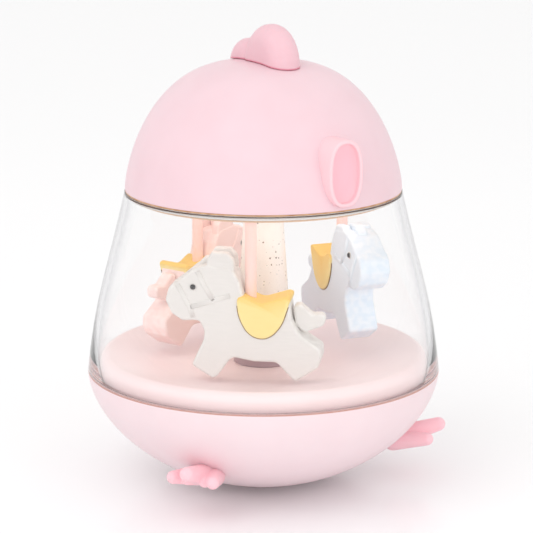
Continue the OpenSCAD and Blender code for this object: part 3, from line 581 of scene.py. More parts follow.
@cache
def tooled_metal() -> bpy.types.NodeTree:
    """Tool marks on metal: fine parallel lines with a cloudy tarnish over them.

    The lines are noise squeezed forty times along X; the tarnish is slow noise.
    """
    wiring, given, out = new_effect("tooled metal", {"Line": 0.12}, ("Height", "Tarnish"))
    place = wiring.add("ShaderNodeTexCoord").outputs["Object"]
    squeeze = wiring.add("ShaderNodeMapping", vector_type="POINT")
    wiring.give(squeeze, "Vector", place)
    squeeze.inputs["Scale"].default_value = (0.025, 1.0, 1.0)
    lines = wiring.noise(squeeze.outputs[0], wiring.maths("DIVIDE", 1000.0, given["Line"]), 2.0)
    wiring.tree.links.new(lines, out["Height"])
    wiring.tree.links.new(wiring.ramp(wiring.noise(place, 260.0, 4.0, 0.6), 0.35, 0.75), out["Tarnish"])
    return wiring.tree


# ---------------------------------------------------------------- finishes


@dataclass(frozen=True)
class Finish:
    """A named finish. Each kind wires its own shader."""

    name: str

    def material(self) -> bpy.types.Material:
        """Returns the material, wired when it is first asked for."""
        found = bpy.data.materials.get(self.name)
        if found:
            return found
        made = bpy.data.materials.new(self.name)
        made.use_nodes = True
        wiring = Wiring(made.node_tree)
        surface = self.wire(wiring)
        wiring.give(wiring.add("ShaderNodeOutputMaterial"), "Surface", surface)
        return made

    def wire(self, wiring: Wiring) -> Socket:
        """Wires the finish.

        Args:
            wiring: the material's node tree.

        Returns:
            The shader's output.
        """
        raise NotImplementedError


@dataclass(frozen=True)
class Plastic(Finish):
    """Moulded plastic: two close tones, a fine grain and a soft gloss."""

    colour: Colour
    shade: Colour
    roughness: float = 0.42
    grain: float = 0.5
    relief: float = 0.006
    coat: float = 0.0
    glow: float = 0.0

    def wire(self, wiring: Wiring) -> Socket:
        """Blends the two tones by the slow drift, and raises the grain a few thousandths of a millimetre.

        Args:
            wiring: the material's node tree.

        Returns:
            The shader's output.
        """
        skin = wiring.effect(moulded_skin(), grain=self.grain)
        tone = wiring.maths("MULTIPLY", skin.outputs["Tone"], 0.6)
        shader = wiring.add("ShaderNodeBsdfPrincipled", roughness=self.roughness, ior=1.46)
        wiring.give(shader, "Base Color", wiring.blend(tone, self.colour, self.shade))
        wiring.give(shader, "Coat Weight", self.coat)
        wiring.give(shader, "Coat Roughness", 0.12)
        if self.glow:
            wiring.give(shader, "Subsurface Weight", self.glow)
            shader.inputs["Subsurface Radius"].default_value = (1.0, 0.45, 0.4)
            wiring.give(shader, "Subsurface Scale", 2.2 * MM)
        wiring.give(shader, "Normal", wiring.bump(skin.outputs["Height"], self.relief * MM))
        return shader.outputs[0]


@dataclass(frozen=True)
class TrimmedPlastic(Plastic):
    """Moulded plastic with a second colour where the piece's band mask is 1: the joint line on the bowl, a
    tan line on the plate's lowest edge, and painted shade in the crest's gap and the beak's recess.
    """

    # the band colour; on the crest and the beak it is painted shade
    trim: Colour = (0.5, 0.3, 0.15)

    def wire(self, wiring: Wiring) -> Socket:
        """Wires the plastic and lays the band's colour over it.

        Args:
            wiring: the material's node tree.

        Returns:
            The shader's output.
        """
        shader = Plastic.wire(self, wiring).node
        under = shader.inputs["Base Color"].links[0].from_socket
        wiring.give(shader, "Base Color", wiring.blend(wiring.attribute("trim"), under, self.trim))
        return shader.outputs[0]


@dataclass(frozen=True)
class PaintedWood(Finish):
    """Painted wood: brushed paint, edges rubbed paler and a matt skin."""

    colour: Colour
    shade: Colour
    edge: Colour
    roughness: float = 0.55
    relief: float = 0.02

    def wire(self, wiring: Wiring) -> Socket:
        """Blends two tones along the strokes, pales the rubbed edges and raises the strokes.

        Args:
            wiring: the material's node tree.

        Returns:
            The shader's output.
        """
        paint = wiring.effect(brushed_paint(), stroke=0.7)
        rub = wiring.effect(rubbed_edge(), amount=0.5)
        tone = wiring.maths("MULTIPLY", paint.outputs["Tone"], 0.5)
        colour = wiring.blend(rub.outputs["Mask"], wiring.blend(tone, self.colour, self.shade), self.edge)
        shader = wiring.add("ShaderNodeBsdfPrincipled", ior=1.45)
        wiring.give(shader, "Base Color", colour)
        rough = wiring.ramp(paint.outputs["Tone"], 0.0, 1.0, self.roughness, self.roughness + 0.1)
        wiring.give(shader, "Roughness", rough)
        wiring.give(shader, "Normal", wiring.bump(paint.outputs["Height"], self.relief * MM))
        return shader.outputs[0]


@dataclass(frozen=True)
class SaddlePaint(PaintedWood):
    """Saddle paint with painted shade: a deeper yellow on the saddle's top, where its mask is 1."""

    seat: Colour = (0.8, 0.5, 0.1)

    def wire(self, wiring: Wiring) -> Socket:
        """Wires the paint and deepens the seat with painted shade.

        Args:
            wiring: the material's node tree.

        Returns:
            The shader's output.
        """
        shader = PaintedWood.wire(self, wiring).node
        under = shader.inputs["Base Color"].links[0].from_socket
        wiring.give(shader, "Base Color", wiring.blend(wiring.attribute("seat"), under, self.seat))
        return shader.outputs[0]


@dataclass(frozen=True)
class GlitterResin(Finish):
    """Resin with dark and bright flakes set in it."""

    colour: Colour
    shade: Colour
    dark: Colour
    bright: Colour
    # painted shade: the mauve laid on the pillar's lowest part, under the horses
    foot: Colour

    def wire(self, wiring: Wiring) -> Socket:
        """Lays the flakes over the tone, with painted shade in mauve where the mask "foot" is 1; the bright
        ones are metal.

        Args:
            wiring: the material's node tree.

        Returns:
            The shader's output.
        """
        skin = wiring.effect(moulded_skin(), grain=0.7)
        flakes = wiring.effect(glitter(), spacing=1.15, flake=0.3, share=0.62)
        dust = wiring.effect(glitter(), spacing=0.55, flake=0.2, share=0.35)
        base = wiring.blend(skin.outputs["Tone"], self.colour, self.shade)
        # painted shade: mauve at the pillar's foot
        base = wiring.blend(wiring.attribute("foot"), base, self.foot)
        base = wiring.blend(wiring.maths("MULTIPLY", dust.outputs["Dark"], 0.35), base, self.dark)
        base = wiring.blend(flakes.outputs["Dark"], base, self.dark)
        shiny = wiring.maths("MAXIMUM", flakes.outputs["Bright"], dust.outputs["Bright"])
        shader = wiring.add("ShaderNodeBsdfPrincipled", ior=1.5)
        wiring.give(shader, "Base Color", wiring.blend(shiny, base, self.bright))
        wiring.give(shader, "Metallic", wiring.maths("MULTIPLY", shiny, 0.6))
        wiring.give(shader, "Roughness", wiring.ramp(shiny, 0.0, 1.0, 0.38, 0.22))
        wiring.give(shader, "Normal", wiring.bump(skin.outputs["Height"], 0.008 * MM))
        return shader.outputs[0]


@dataclass(frozen=True)
class ClearPlastic(Finish):
    """Clear acrylic: light passes its shadow, so the pieces inside stay bright."""

    colour: Colour
    # edge: the grey seen edge on, partly painted shade for the refraction lines
    edge: Colour

    def wire(self, wiring: Wiring) -> Socket:
        """Mixes the refracting shader with a see-through one for shadow rays; seen edge on the shader turns
        grey, a tint for the longer path through the acrylic that also paints in shade for the dark refraction
        lines along the shell's edges.

        Args:
            wiring: the material's node tree.

        Returns:
            The shader's output.
        """
        skin = wiring.effect(moulded_skin(), grain=4.0)
        shader = wiring.add("ShaderNodeBsdfPrincipled", ior=1.46, roughness=0.0)
        facing = wiring.add("ShaderNodeLayerWeight", blend=0.5).outputs["Facing"]
        # painted shade, partly: the grey at grazing angles stands in for the shell's dark refraction lines
        tint = wiring.blend(wiring.ramp(facing, 0.62, 1.0), self.colour, self.edge)
        wiring.give(shader, "Base Color", tint)
        wiring.give(shader, "Transmission Weight", 1.0)
        wiring.give(shader, "Normal", wiring.bump(skin.outputs["Tone"], 0.004 * MM))
        through = wiring.add("ShaderNodeBsdfTransparent")
        wiring.give(through, "Color", self.colour)
        light = wiring.add("ShaderNodeLightPath")
        soft = wiring.maths("MAXIMUM", light.outputs["Is Shadow Ray"], light.outputs["Is Diffuse Ray"])
        mixed = wiring.add("ShaderNodeMixShader")
        wiring.give(mixed, 0, soft)
        wiring.give(mixed, 1, shader.outputs[0])
        wiring.give(mixed, 2, through.outputs[0])
        return mixed.outputs[0]


@dataclass(frozen=True)
class Metal(Finish):
    """Worked metal: tool lines under a cloudy tarnish."""

    colour: Colour
    tarnish: Colour
    roughness: float = 0.3

    def wire(self, wiring: Wiring) -> Socket:
        """Blends the metal towards its tarnish, which is also rougher, and cuts the tool lines in.

        Args:
            wiring: the material's node tree.

        Returns:
            The shader's output.
        """
        marks = wiring.effect(tooled_metal(), line=0.12)
        shader = wiring.add("ShaderNodeBsdfPrincipled")
        wiring.give(shader, "Metallic", 1.0)
        wiring.give(shader, "Base Color", wiring.blend(marks.outputs["Tarnish"], self.colour, self.tarnish))
        rough = wiring.ramp(marks.outputs["Tarnish"], 0.0, 1.0, self.roughness, self.roughness + 0.18)
        wiring.give(shader, "Roughness", rough)
        wiring.give(shader, "Normal", wiring.bump(marks.outputs["Height"], 0.01 * MM))
        return shader.outputs[0]


@dataclass(frozen=True)
class Rubber(Finish):
    """Soft rubber with a pebbled skin."""

    colour: Colour
    shade: Colour

    def wire(self, wiring: Wiring) -> Socket:
        """Pebbles the skin with small rounded cells.

        Args:
            wiring: the material's node tree.

        Returns:
            The shader's output.
        """
        place = wiring.add("ShaderNodeTexCoord").outputs["Object"]
        cells = wiring.add("ShaderNodeTexVoronoi", feature="SMOOTH_F1", scale=900.0)
        wiring.give(cells, "Vector", place)
        shader = wiring.add("ShaderNodeBsdfPrincipled", roughness=0.8)
        wiring.give(shader, "Base Color", wiring.blend(cells.outputs["Distance"], self.colour, self.shade))
        wiring.give(shader, "Normal", wiring.bump(cells.outputs["Distance"], 0.05 * MM))
        return shader.outputs[0]


# ---------------------------------------------------------------- making pieces


def solid_mesh(name: str, surface: Surface) -> bpy.types.Mesh:
    """Turns a surface into a smooth-shaded mesh in metres, with its masks and flat map.

    Args:
        name: the mesh's name.
        surface: the surface in millimetres.

    Returns:
        The mesh; each mask is a number on every point, and the flat map is in metres.
    """
    mesh = bpy.data.meshes.new(name)
    faces = [*surface.quads.tolist(), *surface.triangles.tolist(), *(cap.tolist() for cap in surface.caps)]
    mesh.from_pydata((surface.points * MM).tolist(), [], faces)
    mesh.polygons.foreach_set("use_smooth", np.ones(len(mesh.polygons), bool))
    for mask, values in surface.masks.items():
        mesh.attributes.new(mask, "FLOAT", "POINT").data.foreach_set("value", values.astype(np.float32))
    if surface.flat is not None:
        corner = np.zeros(len(mesh.loops), np.int32)
        mesh.loops.foreach_get("vertex_index", corner)
        flat = (surface.flat[corner] * MM).astype(np.float32)
        mesh.uv_layers.new(name="flat").data.foreach_set("uv", flat.ravel())
    mesh.update()
    return mesh


def loose_object(name: str, surface: Surface) -> bpy.types.Object:
    """Returns a new object in the scene that shows the surface."""
    made = bpy.data.objects.new(name, solid_mesh(name, surface))
    bpy.context.scene.collection.objects.link(made)
    return made


def settle(piece: bpy.types.Object) -> None:
    """Bakes the piece's modifiers into its mesh and clears them.

    Args:
        piece: the object to settle.
    """
    graph = bpy.context.evaluated_depsgraph_get()
    graph.update()
    shown = piece.evaluated_get(graph)
    baked = bpy.data.meshes.new_from_object(shown, preserve_all_data_layers=True, depsgraph=graph)
    piece.modifiers.clear()
    piece.data = baked
    baked.polygons.foreach_set("use_smooth", np.ones(len(baked.polygons), bool))


def carve(piece: bpy.types.Object, cutter: Surface) -> None:
    """Cuts a solid out of a piece.

    Args:
        piece: the piece, a closed solid.
        cutter: the closed surface of what is taken away.
    """
    tool = loose_object(piece.name + "_cutter", cutter)
    cut = piece.modifiers.new("cut", "BOOLEAN")
    cut.operation, cut.solver, cut.object = "DIFFERENCE", "EXACT", tool
    settle(piece)
    bpy.data.objects.remove(tool)


def fuse(piece: bpy.types.Object, grain: float, rounds: int) -> None:
    """Melts the overlapping solids of a piece into one soft skin.

    Args:
        piece: the piece.
        grain: size of the new skin's squares in millimetres.
        rounds: how often the skin is smoothed, which rounds its creases.
    """
    skin = piece.modifiers.new("skin", "REMESH")
    skin.mode, skin.voxel_size, skin.use_smooth_shade = "VOXEL", grain * MM, True
    smooth = piece.modifiers.new("smooth", "SMOOTH")
    smooth.factor, smooth.iterations = 0.5, rounds
    settle(piece)


@dataclass(frozen=True)
class Place:
    """Where a piece belongs: its body, the record's slot and the part nodes that it stands for."""

    body: Body
    slot: str
    nodes: tuple[str, ...] = ()


def finish_piece(piece: bpy.types.Object, finish: Finish, place: Place) -> bpy.types.Object:
    """Dresses a piece and hangs it on its body.

    Args:
        piece: the object, whose place is in its mesh.
        finish: what it is covered with.
        place: its body, slot and nodes.

    Returns:
        The same object.
    """
    piece.data.materials.clear()
    piece.data.materials.append(finish.material())
    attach(piece, place.body.value)
    if place.nodes:
        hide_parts(*place.nodes)
    log.info("%s: %d faces, on %s", piece.name, len(piece.data.polygons), place.body.value)
    return piece


def make_piece(name: str, surface: Surface, finish: Finish, place: Place) -> bpy.types.Object:
    """Makes a surface into a finished piece on its body."""
    return finish_piece(loose_object(name, surface), finish, place)


# ---------------------------------------------------------------- palette

PINK_PLASTIC = Plastic("head pink", srgb(234, 203, 210), srgb(238, 209, 216), 0.38, glow=0.08)
BOWL_PLASTIC = TrimmedPlastic(
    "bowl pink", srgb(240, 219, 223), srgb(243, 223, 227), 0.4, glow=0.08, trim=srgb(196, 146, 134)
)
FLOOR_PLASTIC = Plastic("floor pink", srgb(249, 226, 226), srgb(251, 231, 231), 0.35)
# the crest's band colour is painted shade in the gap under its lowest edge
CREST_PLASTIC = TrimmedPlastic(
    "crest pink", srgb(232, 189, 198), srgb(236, 196, 204), 0.42, glow=0.08, trim=srgb(214, 120, 142)
)
# the beak's band colour is painted shade in its recess
BEAK_PLASTIC = TrimmedPlastic(
    "beak pink", srgb(250, 205, 211), srgb(252, 210, 216), 0.55, trim=srgb(250, 198, 208)
)
FOOT_PLASTIC = Plastic("foot pink", srgb(254, 202, 211), srgb(255, 208, 216), 0.42, glow=0.15)
POLE_PLASTIC = Plastic("pole pink", srgb(253, 216, 208), srgb(254, 222, 214), 0.3, glow=0.1)
SOCKET_PLASTIC = Plastic("socket rose", srgb(228, 184, 172), srgb(234, 192, 180), 0.45)
PLATE_PLASTIC = TrimmedPlastic(
    "plate white", srgb(252, 249, 246), srgb(253, 251, 249), 0.4, trim=srgb(226, 190, 160)
)
RIM_GOLD = Metal("rim gold", srgb(232, 190, 150), srgb(206, 156, 120), 0.3)
# the edge colour is partly painted shade along the shell's edges
CLEAR = ClearPlastic("clear acrylic", srgb(254, 254, 254), srgb(190, 187, 196))
COLUMN_RESIN = GlitterResin(
    "glitter resin",
    colour=srgb(252, 245, 238),
    shade=srgb(246, 236, 228),
    dark=srgb(112, 82, 68),
    bright=srgb(255, 252, 246),
    # foot: the colour of the painted shade at the pillar's base
    foot=srgb(176, 146, 152),
)
WHITE_PAINT = PaintedWood("white paint", srgb(229, 225, 221), srgb(222, 218, 214), srgb(246, 244, 241))
BLUE_PAINT = PaintedWood("blue paint", srgb(230, 241, 251), srgb(221, 234, 246), srgb(246, 250, 254))
ROSE_PAINT = PaintedWood("rose paint", srgb(252, 226, 221), srgb(250, 219, 213), srgb(254, 240, 236))
# the seat colour is painted shade on the top of the saddle
SADDLE_PAINT = SaddlePaint(
    "saddle paint", srgb(246, 224, 150), srgb(244, 217, 141), srgb(252, 238, 186), seat=srgb(246, 206, 112)
)
# dark brown for the painted shadow along the saddle flaps' edges
FLAP_SHADOW_BROWN = Plastic("piping brown", srgb(140, 102, 48), srgb(120, 86, 38), 0.5)
EYE_BLACK = Plastic("eye black", srgb(22, 20, 22), srgb(34, 30, 32), 0.15, relief=0.002, coat=0.6)
EYE_RING = Plastic("eye ring grey", srgb(206, 202, 198), srgb(214, 210, 206), 0.4)
PAD_RUBBER = Rubber("pad rubber", srgb(206, 186, 190), srgb(186, 164, 170))
STEEL = Metal("screw steel", srgb(196, 199, 204), srgb(150, 152, 158), 0.25)
SPRING_STEEL = Metal("blued steel", srgb(150, 158, 172), srgb(104, 108, 124), 0.22)
BRASS = Metal("movement brass", srgb(222, 184, 104), srgb(176, 134, 66), 0.25)
ZINC = Metal("cast zinc", srgb(168, 171, 176), srgb(128, 130, 136), 0.45)
IRON = Metal("ballast iron", srgb(112, 112, 116), srgb(84, 78, 76), 0.5)


STUDIO_WHITE = Plastic("studio white", srgb(252, 252, 253), srgb(252, 252, 253), 0.2, grain=400.0)


# ---------------------------------------------------------------- shapes that several pieces share

BOTTOM_Z = 1.2
SEAM_Z = 40.8
FLOOR_Z = 42.3
RIM_Z = 105.5
SEAM_R = 62.5
BOWL_FOOT_R = 6.6
BOWL_POWER = 1.765
HEAD_R = 48.6
HEAD_RISE = 44.9
HEAD_RISE_POWER = 1.528
HEAD_RIM_POWER = 2.92
SHELL_TAPER = 13.9
SHELL_BULGE = 2.28


def bowl_radius(height: Array, bottom: float, foot: float, rim: float) -> Array:
    """Radius of the bowl: foot + (rim - foot) (1 - (1 - t) ^ 1.765) ^ (1 / 1.765), t from bottom to seam."""
    share = np.clip((height - bottom) / (SEAM_Z - bottom), 0, 1)
    return foot + (rim - foot) * (1 - (1 - share) ** BOWL_POWER) ** (1 / BOWL_POWER)


def shell_radius(height: Array) -> Array:
    """Outer radius of the clear shell: a straight taper plus a slight bulge 2.28 (1 - t) sin(pi t)."""
    share = (height - SEAM_Z) / (RIM_Z - SEAM_Z)
    return SEAM_R - SHELL_TAPER * share + SHELL_BULGE * (1 - share) * np.sin(np.pi * share)


def head_radius(height: Array, rim: float = HEAD_R, rise: float = HEAD_RISE) -> Array:
    """Radius of the head: rim (1 - t ^ 1.528) ^ (1 / 2.92), with t the share of its rise."""
    share = np.clip((height - RIM_Z) / rise, 0, 1)
    return rim * (1 - share**HEAD_RISE_POWER) ** (1 / HEAD_RIM_POWER)


def head_outline(rim: float, rise: float, hole: float, rows: int = 140) -> Array:
    """Outline of a head from its rim up to a hole at the top.

    The heights crowd towards the top, t = 1 - (1 - s) ^ 3, where the curve turns flat.

    Args:
        rim: radius at the rim.
        rise: height of the full curve above the rim.
        hole: radius where the outline stops.
        rows: how many points it has.

    Returns:
        Rows of radius and height.
    """
    top = (1 - (hole / rim) ** HEAD_RIM_POWER) ** (1 / HEAD_RISE_POWER) if hole else 1.0
    share = np.linspace(0, 1 - (1 - top) ** (1 / 3), rows)
    height = RIM_Z + rise * (1 - (1 - share) ** 3)
    return np.stack([head_radius(height, rim, rise), height], -1)


# ---------------------------------------------------------------- lower body


@dataclass
class LowerBody:
    """Bowl, rest pad, floor and column: the lower half of the bird."""

    wall: float = 2.8
    inside_z: float = 3.4
    inside_foot_r: float = 3.6
    pad_r: float = 16.4
    skirt_r: float = 58.8
    skirt_z: float = 36.3
    floor_rise: float = 4.6
    floor_t: float = 2.4
    flat_r: float = 14.2
    roll: float = 3.2
    column_r: float = 10.7
    column_top_r: float = 6.8
    column_top_z: float = 98.3
    seat_r: float = 4.8

    def build(self) -> None:
        """Builds and dresses the four pieces."""
        body = Body.HOUSING
        make_piece("bowl", self.bowl(), BOWL_PLASTIC, Place(body, "bowl_plastic", ("base_bowl",)))
        make_piece("sole", self.pad(), PAD_RUBBER, Place(body, "pad_rubber", ("rest_pad",)))
        make_piece("floor", self.floor(), FLOOR_PLASTIC, Place(body, "floor_plastic", ("floor_dish",)))
        make_piece("pillar", self.column(), COLUMN_RESIN, Place(body, "column_resin", ("column",)))

    def bowl(self) -> Surface:
        """Returns the bowl: outer curve, eased lip and inner curve, turned about the axis.

        Both curves take their heights as 1 - cos of even angles, which crowds them at the flat bottom.
        """
        share = 1 - np.cos(np.linspace(0, math.pi / 2, 90))
        low = BOTTOM_Z + (SEAM_Z - 0.5 - BOTTOM_Z) * share
        outer = np.stack([bowl_radius(low, 0, BOWL_FOOT_R, SEAM_R), low], -1)
        rim = bowl_radius(np.array(SEAM_Z - 0.5), 0, BOWL_FOOT_R, SEAM_R)
        lip_z, inner_rim = SEAM_Z + 0.03, SEAM_R - self.wall
        lip = rounded([(rim, SEAM_Z - 0.5), (SEAM_R - 0.05, lip_z), (inner_rim, lip_z)], 0.3, 5, closed=False)
        high = self.inside_z + (SEAM_Z - self.inside_z) * share[::-1]
        inner = np.stack([bowl_radius(high, self.inside_z, self.inside_foot_r, inner_rim), high], -1)
        outline = np.vstack([[[0, BOTTOM_Z]], outer, lip[1:-1], inner, [[0, self.inside_z]]])
        bowl = lathe(outline, 288, closed=False)
        radius = np.hypot(bowl.points[:, 0], bowl.points[:, 1])
        return bowl.masked("trim", (bowl.points[:, 2] > SEAM_Z - 0.3) & (radius > SEAM_R - 2.0))

    def pad(self) -> Surface:
        """Returns the round pad that the bird stands on, with eased edges."""
        corners = [(0, 0), (self.pad_r, 0), (self.pad_r, BOTTOM_Z), (0, BOTTOM_Z)]
        return lathe(rounded(corners, [0, 0.4, 0.2, 0], 5, closed=False), 160, closed=False)

    def floor(self) -> Surface:
        """Returns the floor: flat round the pillar, rising by the power 2.2 to its rim, then a skirt."""
        edge_r = self.skirt_r - self.roll
        radius = np.linspace(self.flat_r, edge_r, 70)
        rise = self.floor_rise * ((radius - self.flat_r) / (edge_r - self.flat_r)) ** 2.2
        top = np.stack([radius, FLOOR_Z + rise], -1)
        angle = np.radians(np.linspace(76, 0, 14))
        edge_z = FLOOR_Z + self.floor_rise - self.roll * (1 - np.sin(angle))
        edge = np.stack([edge_r + self.roll * np.cos(angle), edge_z], -1)
        inner_r = self.skirt_r - 2
        under = top[:-4] - (0, self.floor_t)
        foot = [(self.skirt_r, self.skirt_z), (inner_r, self.skirt_z), (inner_r, FLOOR_Z - 1)]
        middle = [[0, FLOOR_Z - self.floor_t]]
        outline = np.vstack([middle, under, foot[::-1], edge[::-1], top[::-1], [[0, FLOOR_Z]]])
        return lathe(outline, 256, closed=False)

    def column(self) -> Surface:
        """Returns the tapering pillar with a small bead where it meets the floor, and the mask "foot" for
        painted shade at its base.
        """
        top_z, seat_z = self.column_top_z, self.column_top_z - 4
        corners = [(0, FLOOR_Z), (self.column_r, FLOOR_Z), (self.column_r - 0.35, FLOOR_Z + 1.4)]
        corners += [(self.column_top_r, top_z), (self.seat_r, top_z), (self.seat_r, seat_z), (0, seat_z)]
        outline = rounded(corners, [0, 0.4, 2.0, 0.5, 0.3, 0.2, 0], 6, closed=False)
        rows = np.linspace(0, 1, 40)[1:-1, None]
        top = np.argmax(np.diff(outline[:, 1])) + 1
        side = outline[top - 1] * (1 - rows) + outline[top] * rows
        outline = np.vstack([outline[:top], side, outline[top:]])
        pillar = lathe(outline, 128, closed=False)
        # painted shade: the mask is 1 up to 3 mm above the floor and fades out by 5.5 mm
        return pillar.masked("foot", np.clip((FLOOR_Z + 5.5 - pillar.points[:, 2]) / 2.5, 0, 1))


# ---------------------------------------------------------------- clear shell


@dataclass
class ClearWall:
    """Clear shell and the gilt seal that it carries under the head."""

    wall: float = 2.0
    foot: float = 0.9
    foot_r: float = 59.6
    shoulder_z: float = 105.0
    spigot_r: float = 46.05
    spigot_wall: float = 2.1
    spigot_top: float = 110.0

    def build(self) -> None:
        """Builds and dresses the shell and its seal."""
        make_piece("clear_wall", self.shell(), CLEAR, Place(Body.HOUSING, "clear_plastic", ("clear_shell",)))
        corners = [(46.15, 104.92), (48.45, 104.92), (48.5, 105.5), (46.15, 105.5)]
        seal = lathe(rounded(corners, 0.12, 4), 256)
        make_piece("gilt_seal", seal, RIM_GOLD, Place(Body.HOUSING, "rim_gold", ("rim_seal",)))

    def shell(self) -> Surface:
        """Returns the shell: outer curve, shoulder, spigot and inner curve.

        The wall is thicker at its foot by 0.9 (1 - t) ^ 9, and its lower edges are eased.
        """
        up = np.linspace(SEAM_Z + 0.4, self.shoulder_z - 0.3, 90)
        outer = np.stack([shell_radius(up), up], -1)
        down = np.linspace(self.shoulder_z - 1, SEAM_Z + 0.4, 90)
        thick = self.wall + self.foot * np.clip(1 - (down - SEAM_Z) / (RIM_Z - SEAM_Z), 0, 1) ** 9
        inner = np.stack([shell_radius(down) - thick, down], -1)
        top = shell_radius(np.array(self.shoulder_z))
        spigot_in, low, high = self.spigot_r - self.spigot_wall, self.shoulder_z, self.spigot_top
        corners = [tuple(outer[-1]), (top, low), (self.spigot_r, low), (self.spigot_r, high)]
        corners += [(spigot_in, high), (spigot_in, low), tuple(inner[0])]
        shoulder = rounded(corners, [0, 0.25, 0.3, 0.3, 0.3, 0.8, 0], 5, closed=False)
        sole = [tuple(inner[-1]), (self.foot_r, SEAM_Z), (SEAM_R, SEAM_Z), tuple(outer[0])]
        foot = rounded(sole, [0, 0.3, 0.3, 0], 4, closed=False)
        return lathe(np.vstack([outer, shoulder[1:-1], inner, foot[1:-1]]), 320)


# ---------------------------------------------------------------- head


